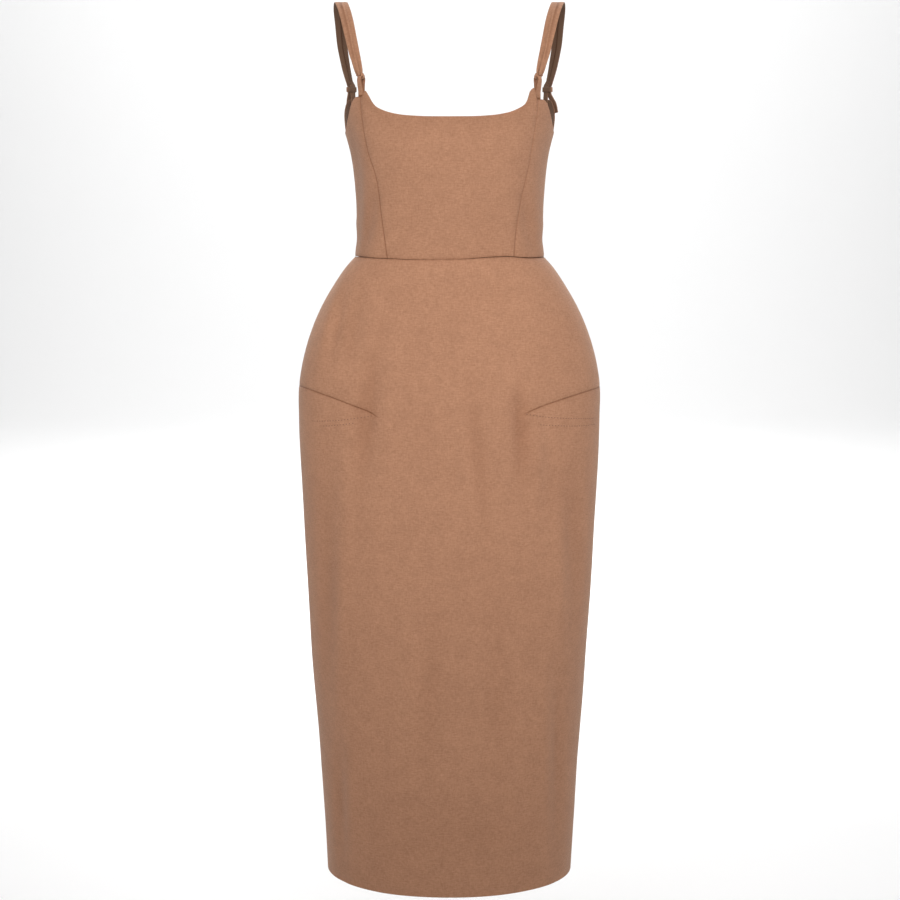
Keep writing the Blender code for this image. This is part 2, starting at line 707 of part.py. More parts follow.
def zip_pull(material):
    """A flat tab hanging on its bar; its origin is on the bar's axis."""
    wide = PULL["half_width"]
    rows = [(PULL["rail"] / 2, wide), (-PULL["rail"] / 2, wide), (-PULL["rail"] / 2 - PULL["window"], wide)]
    for station in PULL_OUTLINE:
        row = dict(zip(PULL_COLUMNS, station))
        rows.append((-row["share_down"] * PULL["length"], row["share_wide"] * wide))
    rows = rows[::-1]
    behind, before = [], []
    for drop, half_width in rows:
        for x in (-half_width, PULL["rail"] - half_width, half_width - PULL["rail"], half_width):
            behind.append((-x, PULL["thick"] / 2, drop))
            before.append((-x, -PULL["thick"] / 2, drop))
    cells = grid_cells(len(rows), 4)
    window = 3 * (len(rows) - 3) + 1
    del cells[window]
    pull = wall("zip_pull", behind, before, cells, material)
    pull.location = (0.0, slider_face() + SLIDER["thick"] + BRIDGE["hole"], PULL_PIVOT)


def build():
    remove_all()
    wool = make_material("wool", WOOL, 0.85)
    tape = make_material("zip_tape", ZIP_TAPE, 0.8)
    metal = make_material("zip_metal", ZIP_METAL, 0.35, 1.0)
    bodice_panels(wool)
    skirt_front(wool)
    skirt_backs(wool)
    for side in ("left", "right"):
        strap(side, wool)
        strap_loop(side, wool)
        strap_keeper(side, wool)
    zip_tape(tape)
    zip_slider(metal)
    zip_pull(metal)


build()
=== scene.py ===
# Sculpted slip dress: milled wool on its worn shape, seams, hip darts, looped straps and back zip
import math

import bmesh
import bpy
import numpy as np
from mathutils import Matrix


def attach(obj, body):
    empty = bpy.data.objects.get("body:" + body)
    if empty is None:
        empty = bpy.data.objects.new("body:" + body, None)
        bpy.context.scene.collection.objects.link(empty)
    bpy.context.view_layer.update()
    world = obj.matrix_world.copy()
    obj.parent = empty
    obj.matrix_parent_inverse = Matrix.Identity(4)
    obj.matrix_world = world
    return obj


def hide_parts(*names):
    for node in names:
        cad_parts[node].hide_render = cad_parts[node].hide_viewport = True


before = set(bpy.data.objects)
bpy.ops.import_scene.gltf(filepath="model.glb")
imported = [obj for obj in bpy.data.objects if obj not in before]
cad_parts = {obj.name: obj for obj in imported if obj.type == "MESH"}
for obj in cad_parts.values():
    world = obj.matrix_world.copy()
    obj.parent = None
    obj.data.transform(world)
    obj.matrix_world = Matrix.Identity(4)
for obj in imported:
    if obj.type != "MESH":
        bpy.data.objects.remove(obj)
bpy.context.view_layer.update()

# Where the dress is held, seen and lit
studio = {
    "cameraAt": (0.0007, -2.84, -0.2112),
    "cameraTilt": 7.612,  # degrees down
    "lens": 85.0,
    "floorLevel": -1.45,
    "floorReach": 9.0,
    "floorHalfWidth": 26.0,
    "floorCurve": 1.6,  # radius of the sweep up behind
    "floorColour": (0.95, 0.95, 0.95, 1.0),
    "worldStrength": 0.165,
}
# for each: where it stands, what it faces, size, power, and spread in degrees
lights = {
    "key": ((0.10, -2.00, 0.40), (0.0, 0.0, -0.40), 1.3, 3.76, 55.0),
    "keyLeft": ((-0.90, -1.85, 0.40), (0.0, 0.0, -0.40), 1.1, 2.0, 55.0),
    "leftSide": ((-2.4, -0.5, 0.0), (0.0, 0.0, -0.45), 1.5, 2.4, 180.0),
    "rightSide": ((2.4, -0.5, 0.2), (0.1, 0.0, -0.16), 1.4, 3.8, 72.0),
    "back": ((0.6, 2.6, 1.6), (0.0, 0.0, -0.5), 2.0, 14.0, 180.0),
    "backdrop": ((0.0, 4.2, 3.2), (0.0, 8.6, 0.2), 3.5, 285.0, 180.0),
    "ground": ((0.0, 2.4, 2.6), (0.0, 1.8, -1.45), 3.0, 70.0, 120.0),
}


def addToScene(name, data):
    thing = bpy.data.objects.new(name, data)
    bpy.context.scene.collection.objects.link(thing)
    return thing


def addCamera():
    data = bpy.data.cameras.new("camera")
    data.lens = studio["lens"]
    data.clip_end = 60.0
    camera = addToScene("camera", data)
    camera.location = studio["cameraAt"]
    camera.rotation_euler = (math.radians(90.0 - studio["cameraTilt"]), 0.0, 0.0)
    bpy.context.scene.camera = camera


def addLights():
    for name, (place, aim, size, power, reach) in lights.items():
        data = bpy.data.lights.new(name, "AREA")
        data.shape = "SQUARE"
        data.size = size
        data.energy = power
        data.spread = math.radians(reach)
        lamp = addToScene(name, data)
        lamp.location = place
        away = np.array(place) - np.array(aim)
        pitch = math.atan2(math.hypot(away[0], away[1]), away[2])
        lamp.rotation_euler = (pitch, 0.0, math.atan2(away[0], -away[1]))
    world = bpy.data.worlds.new("studio")
    world.use_nodes = True
    background = world.node_tree.nodes["Background"]
    background.inputs["Color"].default_value = (1.0, 1.0, 1.0, 1.0)
    background.inputs["Strength"].default_value = studio["worldStrength"]
    bpy.context.scene.world = world
    bpy.context.scene.view_settings.view_transform = "Standard"


def newMaterial(name, roughness):
    material = bpy.data.materials.new(name)
    material.use_nodes = True
    shader = material.node_tree.nodes["Principled BSDF"]
    shader.inputs["Roughness"].default_value = roughness
    return material, material.node_tree, shader


def addFloor():
    # a pale sheet that runs back under the dress and sweeps up behind it
    reach, level, radius = studio["floorReach"], studio["floorLevel"], studio["floorCurve"]
    wide = studio["floorHalfWidth"]
    profile = [(-reach, level), (reach - radius, level)]
    for step in range(1, 13):
        angle = math.radians(90.0 * step / 12)
        profile.append((reach - radius + radius * math.sin(angle), level + radius * (1 - math.cos(angle))))
    profile.append((reach, level + reach))
    points = [(x, y, z) for y, z in profile for x in (-wide, wide)]
    faces = [(2 * k, 2 * k + 1, 2 * k + 3, 2 * k + 2) for k in range(len(profile) - 1)]
    mesh = bpy.data.meshes.new("floor")
    mesh.from_pydata(points, [], faces)
    mesh.shade_smooth()
    material, _tree, shader = newMaterial("paleFloor", 0.9)
    shader.inputs["Base Color"].default_value = studio["floorColour"]
    mesh.materials.append(material)
    addToScene("floor", mesh)


addCamera()
addLights()
addFloor()
print("camera, lights and floor made")

# Finishes
cloth = {
    "wool": (0.462, 0.234, 0.136, 1.0),
    "woolDark": (0.352, 0.168, 0.092, 1.0),
    "woolLight": (0.580, 0.306, 0.188, 1.0),
    # lining tone, darkened to stand in for the shade inside the dress: a lining with painted shade
    "liningAndShade": (0.176, 0.100, 0.064, 1.0),
    "creaseTint": (0.44, 0.32, 0.23, 1.0),  # what sits in shadow along a seam
    "fibreScale": 1150.0,  # per metre
    "heatherScale": 340.0,
    "cloudScale": 9.0,
    "mottleScale": 58.0,
    "slubScale": 560.0,  # across a thread
    "slubLength": 150.0,
    "threadPitch": 0.00062,
    "napDepth": 0.00020,
    "weaveDepth": 0.00006,
}
trims = {
    "threadDark": (0.150, 0.072, 0.042, 1.0),
    "threadLight": (0.250, 0.125, 0.078, 1.0),
    "threadScale": 2600.0,
    "tapeDark": (0.250, 0.135, 0.085, 1.0),
    "tapeLight": (0.345, 0.195, 0.125, 1.0),
    "tapeRib": 0.0008,
    "enamelDark": (0.205, 0.104, 0.060, 1.0),
    "enamelLight": (0.285, 0.152, 0.092, 1.0),
    "wearScale": 900.0,
}


def addNode(tree, kind, settings=None, inputs=None):
    made = tree.nodes.new(kind)
    for name, value in (settings or {}).items():
        setattr(made, name, value)
    for name, value in (inputs or {}).items():
        if isinstance(value, bpy.types.NodeSocket):
            tree.links.new(value, made.inputs[name])
        else:
            made.inputs[name].default_value = value
    return made


def firstOf(tree, kind, settings=None, inputs=None):
    return addNode(tree, kind, settings, inputs).outputs[0]


def mixColours(tree, factor, first, second, blend="MIX"):
    settings = {"data_type": "RGBA", "blend_type": blend}
    return addNode(tree, "ShaderNodeMix", settings, {0: factor, 6: first, 7: second}).outputs[2]


def placeOn(tree):
    return addNode(tree, "ShaderNodeTexCoord").outputs["Object"]


def threadsOn(tree):
    return addNode(tree, "ShaderNodeUVMap", {"uv_map": "cloth"}).outputs["UV"]


def noiseOn(tree, place, scale, detail=2.0, roughness=0.5):
    inputs = {"Vector": place, "Scale": scale, "Detail": detail, "Roughness": roughness}
    return addNode(tree, "ShaderNodeTexNoise", None, inputs).outputs["Fac"]


def ribsOn(tree, place, pitch, distortion, direction="X", finer=1.0):
    inputs = {
        "Vector": place,
        "Scale": math.tau / 20.0 / pitch,
        "Distortion": distortion,
        "Detail": 1.0,
        "Detail Scale": finer,
    }
    return addNode(tree, "ShaderNodeTexWave", {"bands_direction": direction}, inputs).outputs["Fac"]


def spread(tree, value, low, high, newLow=0.0, newHigh=1.0):
    inputs = {"Value": value, "From Min": low, "From Max": high, "To Min": newLow, "To Max": newHigh}
    return firstOf(tree, "ShaderNodeMapRange", None, inputs)


def colourAndBump(tree, shader, colour, height, strength, depth, over=None):
    inputs = {"Strength": strength, "Distance": depth, "Height": height}
    if over is not None:
        inputs["Normal"] = over
    tree.links.new(colour, shader.inputs["Base Color"])
    tree.links.new(firstOf(tree, "ShaderNodeBump", None, inputs), shader.inputs["Normal"])


def woolMaterial():
    # milled wool: heathered fibres, a short nap over a fine weave, a darker lining tone on the inside that
    # also stands in for the shade inside the dress (painted shade), and painted shade along seams and in
    # troughs
    material, tree, shader = newMaterial("milledWool", 0.92)
    place, threads = placeOn(tree), threadsOn(tree)
    fibres = spread(tree, noiseOn(tree, place, cloth["fibreScale"], 3.0, 0.65), 0.34, 0.66)
    heather = spread(tree, noiseOn(tree, place, cloth["heatherScale"], 2.0, 0.6), 0.30, 0.70)
    layers = [(0.38, fibres), (0.38, heather)]
    thin, long = cloth["slubScale"], cloth["slubLength"]
    for stretch in ((thin, long, 1.0), (long, thin, 1.0)):
        along = firstOf(tree, "ShaderNodeMapping", None, {"Vector": threads, "Scale": stretch})
        layers.append((0.30, spread(tree, noiseOn(tree, along, 1.0, 2.0, 0.6), 0.32, 0.68)))
    base = cloth["wool"]
    for share, pattern in layers:
        tint = mixColours(tree, pattern, cloth["woolDark"], cloth["woolLight"])
        base = mixColours(tree, share, base, tint)
    clouds = spread(tree, noiseOn(tree, place, cloth["cloudScale"], 2.0, 0.5), 0.25, 0.75)
    mottle = spread(tree, noiseOn(tree, place, cloth["mottleScale"], 3.0, 0.6), 0.32, 0.68)
    for pattern, low, high in (
        (clouds, (0.955, 0.950, 0.950, 1.0), (1.0, 1.0, 1.0, 1.0)),
        (mottle, (0.930, 0.922, 0.920, 1.0), (1.02, 1.02, 1.02, 1.0)),
    ):
        base = mixColours(tree, 1.0, base, mixColours(tree, pattern, low, high), "MULTIPLY")
    inside, paintedShade = (
        addNode(tree, "ShaderNodeAttribute", {"attribute_name": name}).outputs["Fac"]
        for name in ("inside", "paintedShade")
    )
    # inside faces, and the sides of straps and keepers towards the wearer, take the lining tone with its
    # painted shade
    base = mixColours(tree, inside, base, cloth["liningAndShade"])
    # painted shade along seams, in troughs, under the neckline, beside the strap loops and where one strap
    # run lies over the other
    base = mixColours(tree, paintedShade, base, mixColours(tree, 1.0, base, cloth["creaseTint"], "MULTIPLY"))
    weave = {k: ribsOn(tree, threads, cloth["threadPitch"], 1.6, "XY"[k], 1.5) for k in (0, 1)}
    crossing = firstOf(tree, "ShaderNodeMath", {"operation": "MULTIPLY"}, weave)
    inputs = {"Strength": 0.6, "Distance": cloth["weaveDepth"], "Height": crossing}
    woven = firstOf(tree, "ShaderNodeBump", None, inputs)
    colourAndBump(tree, shader, base, fibres, 0.7, cloth["napDepth"], woven)
    for name, value in (("Weight", 0.30), ("Roughness", 0.40), ("Tint", (1.0, 0.86, 0.76, 1.0))):
        shader.inputs[f"Sheen {name}"].default_value = value
    shader.inputs["Specular IOR Level"].default_value = 0.18
    return material


def threadMaterial():
    material, tree, shader = newMaterial("sewingThread", 0.7)
    twist = noiseOn(tree, placeOn(tree), trims["threadScale"], 2.0, 0.6)
    tint = mixColours(tree, twist, trims["threadDark"], trims["threadLight"])
    colourAndBump(tree, shader, tint, twist, 0.5, 0.0001)
    return material


def tapeMaterial():
    # woven zip tape: fine herringbone ribs along its length
    material, tree, shader = newMaterial("zipTape", 0.8)
    ribs = ribsOn(tree, threadsOn(tree), trims["tapeRib"], 0.6)
    tint = mixColours(tree, ribs, trims["tapeDark"], trims["tapeLight"])
    colourAndBump(tree, shader, tint, ribs, 0.6, 0.00012)
    return material


def enamelMaterial():
    # the slider and pull are enamelled in the cloth's colour, rubbed a little on their edges
    material, tree, shader = newMaterial("zipEnamel", 0.38)
    wear = noiseOn(tree, placeOn(tree), trims["wearScale"], 3.0, 0.6)
    rubbed = spread(tree, wear, 0.35, 0.8)
    tint = mixColours(tree, rubbed, trims["enamelDark"], trims["enamelLight"])
    dulled = spread(tree, spread(tree, wear, 0.2, 0.9), 0.0, 1.0, 0.30, 0.50)
    tree.links.new(dulled, shader.inputs["Roughness"])
    colourAndBump(tree, shader, tint, wear, 0.2, 0.0001)
    return material


wool = woolMaterial()
thread = threadMaterial()
zipTape = tapeMaterial()
zipEnamel = enamelMaterial()
print("materials made")


def metres(*rows, plain=()):
    # tables are written in millimetres, apart from their plain columns: shares, slopes, powers and degrees
    table = np.array(rows, float)
    return table / [1.0 if column in plain else 1000.0 for column in range(table.shape[1])]


# The worn shape, row by level: half width, y where it is widest, y at centre front and centre back, and how
# square its front and back halves are, 2 being round
bodiceSections = metres(
    (-100, 140, 24, -98, 77, 2.7, 2.9), (-142, 143.4, 22, -107, 85, 2.7, 2.8),
    (-160, 140.2, 18, -110, 87, 2.6, 2.7), (-195, 131.2, 6, -112, 88, 2.5, 2.5),
    (-243, 125.4, 0, -106, 83, 2.4, 2.4), (-290, 124, 0, -99, 80, 2.3, 2.3),
    (-331, 126.4, 0, -94, 80, 2.3, 2.3),
    plain=(5, 6),
)
skirtSections = metres(
    (-331, 126.4, 0, -94, 80, 2.3, 2.3), (-341, 135.5, 0, -97, 84, 2.3, 2.3),
    (-370, 155.3, 0, -102, 94, 2.3, 2.3), (-405, 174.3, 0, -107, 105, 2.3, 2.3),
    (-437, 187.2, 0, -111, 114, 2.3, 2.3), (-469, 196.4, 0, -115, 121, 2.3, 2.3),
    (-503, 202.1, 0, -118, 126, 2.25, 2.3), (-545, 202.4, 0, -121, 128, 2.2, 2.25),
    (-640, 199, 0, -124, 128, 2.15, 2.2), (-783, 191, 0, -129, 125, 2.1, 2.15),
    (-960, 180.2, 0, -133, 121, 2.1, 2.1), (-1169, 167.5, 0, -137, 117, 2.1, 2.1),
    plain=(5, 6),
)
waist = bodiceSections[-1][0]
hem = skirtSections[-1][0]

# Cloth and seams, in metres
sewing = {
    "wall": 0.0018,
    "gap": 0.0002,  # between two panels sewn edge to edge
    "edgeRound": 0.33,  # radius of a turned edge, as a share of the wall
    "seamDip": 0.00035,  # how far the cloth sinks towards a seam
    "seamDipWidth": 0.0026,
    "pucker": 0.00010,
    "puckerPitch": 0.019,
    "puckerBeat": 0.083,  # a slower wave that makes the puckers come and go
    "puckerFade": 0.0090,
    "foldDepth": 1.7,
    "backFade": 0.025,  # folds die away this near the centre back
    "hollowShade": 0.20,  # painted shade: how dark the cloth lies in a trough as deep as hollowDepth
    "hollowDepth": 0.006,
    "neckShade": 0.12,
    "shade": 0.62,
    "shadeWidth": 0.0009,
    "haloShade": 0.10,  # a fainter, wider shade beside it
    "haloWidth": 0.0045,
    "waistRound": 0.35,  # the waist is pressed flatter than the other seams
    "waistShade": 0.46,
    "waistWidth": 0.0016,
    "princess": {"left": (0.30, 0.62), "right": (0.75, 0.80)},  # how dark at the top and at the waist
    "bodiceSpacing": 0.0030,
    "skirtSpacing": 0.0042,
    "hemTurn": 0.0400,  # wool turned up inside the hem
    "hemThick": 0.0011,
    "ventFacing": 0.0280,
    "topTurn": 0.0042,  # wool turned in at the neck and armholes
    "topStretch": 5.0,  # most that the rows along a steep top edge are stretched
    "topShare": 0.45,  # most of a column that they take up
}
# distances in from an edge at which its rows of points lie
edgeMarks = (0.0, 0.00006, 0.00022, 0.00045, 0.00081, 0.0014, 0.0024, 0.0040, 0.0065)
topMarks = (*edgeMarks[:-1], 0.0045, 0.0065)
hemMarks = (*edgeMarks, 0.012, 0.020, 0.030, 0.0385, 0.0399, 0.0402, 0.0416)
ventMarks = (*edgeMarks, 0.012, 0.020, 0.0276, 0.0282)
dartMarks = (*edgeMarks, 0.0100)

# Soft troughs (negative) and ridges, listed where the cloth hangs or is drawn in: the distance from
# centre front with left positive, the level, how far it drifts round for each metre up, the reach up and
# down, the breadth, and the depth
bodiceFolds = metres(
    (0, -138, 0, 24, 105, 2.8), (-150, -245, 0, 90, 21, -1.9), (150, -225, 0, 85, 20, -0.4),
    (-116, -283, 0.25, 44, 14, -2), (113, -284, -0.25, 46, 14, -1.9), (-52, -284, 0.3, 36, 12, -0.6),
    (47, -292, -0.25, 30, 13, -0.6), (6, -236, 0.05, 50, 30, 0.5), (-160, -306, 0.4, 12, 30, -0.7),
    (172, -309, -0.35, 11, 30, -0.7), (-190, -288, 0.4, 10, 26, 0.5), (196, -290, -0.35, 10, 26, 0.5),
    (236, -250, 0.15, 46, 13, -1.5), (-244, -262, -0.2, 40, 12, -1.5), (262, -244, 0.12, 44, 14, 0.6),
    (-270, -252, -0.15, 40, 14, 0.6), (-296, -222, 0.1, 48, 18, 0.6), (288, -303, -0.3, 12, 34, -1),
    (-282, -300, 0.3, 13, 34, -1),
    plain=(2,),
)
skirtFolds = metres(
    (-83, -535, 0.1, 85, 12, 1.9), (-106, -486, 0.1, 36, 14, -2), (-110.5, -550, 0.12, 80, 15, -3.3),
    (-129, -425, 0.14, 50, 12, -1.5), (-106, -425, 0.14, 55, 12, 1.2), (-156, -420, 0.16, 45, 11, -1.9),
    (-174, -430, 0.16, 50, 12, 1.1), (93.5, -548, -0.05, 58, 11.5, -4.1), (74, -545, -0.03, 60, 9, 1),
    (115, -585, -0.05, 55, 12, 2.6), (36, -575, -0.1, 85, 11, -2.15), (17, -590, -0.08, 85, 11, 0.9),
    (56, -580, -0.08, 80, 12, 1), (144, -625, -0.06, 80, 22, -1.5), (-148, -760, 0.06, 150, 14, 1.4),
    (-175, -750, 0.06, 160, 17.5, -1.9), (152, -710, -0.05, 110, 14, 1.4),
    (178, -700, -0.05, 130, 18, -1.9), (-162, -1060, 0.03, 80, 13, -1.9), (-140, -1040, 0.03, 80, 14, 1.3),
    (156, -990, -0.04, 110, 15, -1.9), (134, -980, -0.04, 110, 15, 1.2), (-55, -860, 0.05, 120, 18, 1.3),
    (-26, -880, 0.05, 130, 16, -1.5), (62, -900, -0.03, 120, 18, -1.5), (-60, -1025, 0, 16, 60, 0.95),
    (50, -1080, 0, 15, 70, -0.9), (-50, -1105, 0, 14, 50, -0.85), (45, -375, 0, 18, 50, -0.9),
    (-50, -368, 0, 16, 45, -0.8), (265, -600, 0.1, 100, 13, -1.2), (288, -610, 0.1, 105, 14, 0.9),
    (335, -625, 0.12, 90, 12, -3), (360, -650, 0.12, 95, 13, 2), (-270, -640, -0.1, 110, 14, -1.1),
    (-348, -600, -0.12, 80, 11.5, -2.9), (-374, -635, -0.12, 90, 13, 1.9), (445, -575, 0.06, 70, 11, -2.3),
    (423, -590, 0.06, 70, 12, 1.5), (-430, -690, -0.05, 100, 14, -2.5), (-408, -680, -0.05, 100, 14, 1.5),
    (305, -905, 0.05, 120, 16, -2.1), (333, -920, 0.05, 120, 16, 0.85), (-295, -950, -0.06, 110, 16, -2.1),
    (-323, -960, -0.06, 110, 16, 0.85), (390, -1045, 0.04, 85, 15, 1.8), (-385, -1075, -0.04, 70, 14, 1.8),
    (240, -1060, -0.03, 80, 15, -1), (-235, -830, 0.04, 110, 15, 0.9), (360, -380, 0.2, 30, 12, -1.6),
    (-350, -385, -0.2, 32, 12, -1.5),
    # fullness above each hip dart, and the small pucker where its point lets go
    (125, -492, 0, 24, 46, 1.5), (-128, -490, 0, 24, 47, 1.5), (99, -536, 0, 5, 5, 0.6),
    (-95, -539, 0, 5.5, 4.5, 0.5), (92.5, -523, 0, 8, 4, -0.45), (-88, -527, 0, 8, 4, -0.4),
    plain=(2,),
)
# Slow unevenness of the whole cloth: waves a metre round, waves a metre up, phase and depth
drift = metres(
    (4.1, 2.3, 0.4, 0.35), (7.7, -3.1, 1.9, 0.22), (2.6, 6.4, 3.3, 0.22), (13.3, 4.7, 5.1, 0.1),
    plain=(0, 1, 2),
)
# How far the waist seam is drawn up, as the dress hangs, by distance from centre front
waistRise = metres(
    (-197, 0), (-150, 1.8), (-128, 1.8), (-98, 1.1), (-78, 0.9), (-52, 0.1), (-30, 0.1), (-12, 0.6),
    (10, 0.7), (26, 1.4), (38, 2.2), (50, 3.1), (63, 3.6), (77, 3.8), (92, 2.8), (108, 1.5), (150, 0.8),
    (197, 0),
)


def smoothTable(table, at):
    # every column after the first, read at values of the first on a smooth curve through the rows
    rows = np.array(table, float)
    rows = rows[np.argsort(rows[:, 0])]
    keys, values = rows[:, 0], rows[:, 1:]
    at = np.clip(np.asarray(at, float), keys[0], keys[-1])
    i = np.clip(np.searchsorted(keys, at, side="right") - 1, 0, len(keys) - 2)
    slopes = np.gradient(values, keys, axis=0)
    step = np.asarray(keys[i + 1] - keys[i])[..., None]
    t = np.asarray(at - keys[i])[..., None] / step
    return (
        values[i] * (2 * t**3 - 3 * t**2 + 1)
        + slopes[i] * step * (t**3 - 2 * t**2 + t)
        + values[i + 1] * (3 * t**2 - 2 * t**3)
        + slopes[i + 1] * step * (t**3 - t**2)
    )


def readCurve(table, at):
    return smoothTable(table, at)[..., 0]


def sectionAt(form, level):
    return np.moveaxis(smoothTable(form["sections"], level), -1, 0)


def bodyPoint(form, turn, level):
    # a point of the outer face: turn is 0 at centre front, a quarter at the left side, a half behind
    turn, level = np.broadcast_arrays(turn, level)
    half, widest, frontY, backY, frontPower, backPower = sectionAt(form, level)
    facing = np.cos(turn) >= 0
    power = np.where(facing, frontPower, backPower)
    depth = np.abs(np.where(facing, frontY, backY) - widest)
    sine, cosine = np.sin(turn), np.cos(turn)
    x = half * np.sign(sine) * np.abs(sine) ** (2 / power)
    y = widest - depth * np.sign(cosine) * np.abs(cosine) ** (2 / power)
    return np.stack((x, y, level), axis=-1)


def outwardFrom(form, turn, level):
    probe = 2e-4
    lowest, highest = form["levels"][0], form["levels"][-1]
    turn, level = np.broadcast_arrays(turn, level)
    across = bodyPoint(form, turn + 3 * probe, level) - bodyPoint(form, turn - 3 * probe, level)
    held = np.clip(level, lowest, highest)
    up = bodyPoint(form, turn, np.minimum(held + probe, highest))
    up = up - bodyPoint(form, turn, np.maximum(held - probe, lowest))
    normal = np.cross(across, up)
    return normal / np.linalg.norm(normal, axis=-1, keepdims=True)


def makeForm(sections, folds):
    # with the distance round it from centre front, left being positive, by level and turn
    form = {"sections": sections, "folds": folds}
    form["levels"] = np.linspace(sections[-1][0], sections[0][0], 140)
    form["turns"] = np.linspace(-math.pi, math.pi, 1601)
    points = bodyPoint(form, form["turns"][None, :], form["levels"][:, None])
    around = np.cumsum(np.linalg.norm(np.diff(points, axis=1), axis=2), axis=1)
    around = np.concatenate((np.zeros((len(around), 1)), around), axis=1)
    form["around"] = around - around[:, [around.shape[1] // 2]]
    return form


def placeMarks(near, far, nearMarks, farMarks, between):
    # fixed distances in from both ends, and even spacing in the middle
    low, high = near + nearMarks[-1], far - farMarks[-1]
    middle = low + (high - low) * np.arange(1, between) / between
    return np.concatenate((near + np.array(nearMarks), middle, far - np.array(farMarks[::-1])))


def marksFromEnds(nearMarks, farMarks, between):
    apart = np.full(between - 1, np.inf)
    fromNear = np.concatenate((nearMarks, apart, np.full(len(farMarks), np.inf)))
    fromFar = np.concatenate((np.full(len(nearMarks), np.inf), apart, farMarks[::-1]))
    return fromNear, fromFar


def columnTurns(form, start, end, nearMarks, farMarks, spacing):
    # the turn of each grid column at each level of the form's table
    levels, turns = form["levels"], form["turns"]
    ends = []
    for seam in (start, end):
        reached = np.broadcast_to(seam(levels), levels.shape)
        ends.append([np.interp(turn, turns, row) for turn, row in zip(reached, form["around"])])
    widest = max(far - near for near, far in zip(*ends))
    between = max(4, round((widest - nearMarks[-1] - farMarks[-1]) / spacing))
    grid = []
    for near, far, row in zip(*ends, form["around"]):
        grid.append(np.interp(placeMarks(near, far, nearMarks, farMarks, between), row, turns))
    return np.array(grid), between


def readColumns(form, table, level):
    # each column of a table by level, read at that column's own levels
    return np.stack([np.interp(level[:, j], form["levels"], table[:, j]) for j in range(table.shape[1])], 1)


def aroundAt(form, turn, level):
    # distance round from centre front at any turn and level
    levels, turns, around = form["levels"], form["turns"], form["around"]
    row = np.clip((level - levels[0]) / (levels[1] - levels[0]), 0, len(levels) - 1.001)
    column = np.clip((turn - turns[0]) / (turns[1] - turns[0]), 0, len(turns) - 1.001)
    i, j = row.astype(int), column.astype(int)
    u, v = row - i, column - j
    low = around[i, j] * (1 - v) + around[i, j + 1] * v
    high = around[i + 1, j] * (1 - v) + around[i + 1, j + 1] * v
    return low * (1 - u) + high * u


bodiceForm = makeForm(bodiceSections, bodiceFolds)
skirtForm = makeForm(skirtSections, skirtFolds)


def relief(form, around, level):
    # how far the cloth stands out from the smooth body, the same for both its faces
    total = np.zeros_like(around)
    for place, height, lean, reach, breadth, depth in form["folds"]:
        along = (level - height) / reach
        aside = (around - place - lean * (level - height)) / breadth
        total += sewing["foldDepth"] * depth * np.exp(-(along**2) - aside**2)
    for wavesRound, wavesUp, phase, depth in drift:
        total += depth * np.sin(math.tau * (wavesRound * around + wavesUp * level) + phase)
    half = np.interp(level, form["levels"], form["around"][:, -1])
    return total * (1 - np.exp(-(((half - np.abs(around)) / sewing["backFade"]) ** 2)))


def roundedEdge(distance):
    # how far each face curls in towards the middle of the cloth near a turned edge
    radius = sewing["edgeRound"] * sewing["wall"]
    inside = np.clip(radius - distance, 0.0, radius)
    return radius - np.sqrt(radius**2 - inside**2)


def seamPull(distance, along):
    # the cloth sinks towards its stitching, and puckers slightly along it
    dip = -sewing["seamDip"] * np.exp(-((distance / sewing["seamDipWidth"]) ** 2))
    beat = np.sin(math.tau * along / sewing["puckerBeat"] + 0.7)
    wobble = np.sin(math.tau * along / sewing["puckerPitch"]) * beat
    return dip + sewing["pucker"] * wobble * np.exp(-distance / sewing["puckerFade"])


def seamShade(distance, width=sewing["shadeWidth"]):
    halo = sewing["haloShade"] * np.exp(-((distance / sewing["haloWidth"]) ** 2))
    return sewing["shade"] * np.exp(-((distance / width) ** 2)) + halo


def clothMesh(name, points, faces, chart, inside, paintedShade, mirrored, material=wool):
    # chart is where each point lies on the flat cloth; its two marks say where the lining tone with its
    # painted shade goes, and where painted shade lies by a seam or in a trough
    points, chart = points.reshape(-1, 3), chart.reshape(-1, 2)
    if mirrored:
        points = points * (-1, 1, 1)
        faces = [face[::-1] for face in faces]
    mesh = bpy.data.meshes.new(name)
    mesh.from_pydata(points.tolist(), [], faces)
    mesh.shade_smooth()
    corners = np.zeros(len(mesh.loops), np.int32)
    mesh.loops.foreach_get("vertex_index", corners)
    layer = mesh.uv_layers.new(name="cloth")
    layer.data.foreach_set("uv", chart[corners].astype(np.float32).ravel())
    for label, values in (("inside", inside), ("paintedShade", paintedShade)):
        mark = mesh.attributes.new(label, "FLOAT", "POINT")
        mark.data.foreach_set("value", np.asarray(values, np.float32).ravel())
    mesh.materials.append(material)
    mesh.validate()
    return addToScene(name, mesh)


def closedShell(name, outer, inner, chart, inside, paintedShade, mirrored=False, material=wool):
    # two sheets of the same grid joined round their edge
    index = np.arange(outer[..., 0].size).reshape(outer.shape[:2])
    count = index.size
    cells = np.stack((index[:-1, :-1], index[:-1, 1:], index[1:, 1:], index[1:, :-1]), -1).reshape(-1, 4)
    border = np.concatenate((index[0, :-1], index[:-1, -1], index[-1, :0:-1], index[:0:-1, 0]))
    ahead = np.roll(border, -1)
    rim = np.stack((ahead, border, border + count, ahead + count), -1)
    faces = np.concatenate((cells, cells[:, ::-1] + count, rim)).tolist()
    plain = np.zeros(index.shape)
    inside, paintedShade = np.stack((plain, inside + plain)), np.stack((paintedShade + plain, plain))
    points, chart = np.stack((outer, inner)), np.stack((chart, chart))
    return clothMesh(name, points, faces, chart, inside, paintedShade, mirrored, material)


def finishPiece(piece, nodes, body="dress"):
    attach(piece, body)
    if nodes:
        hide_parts(*nodes)


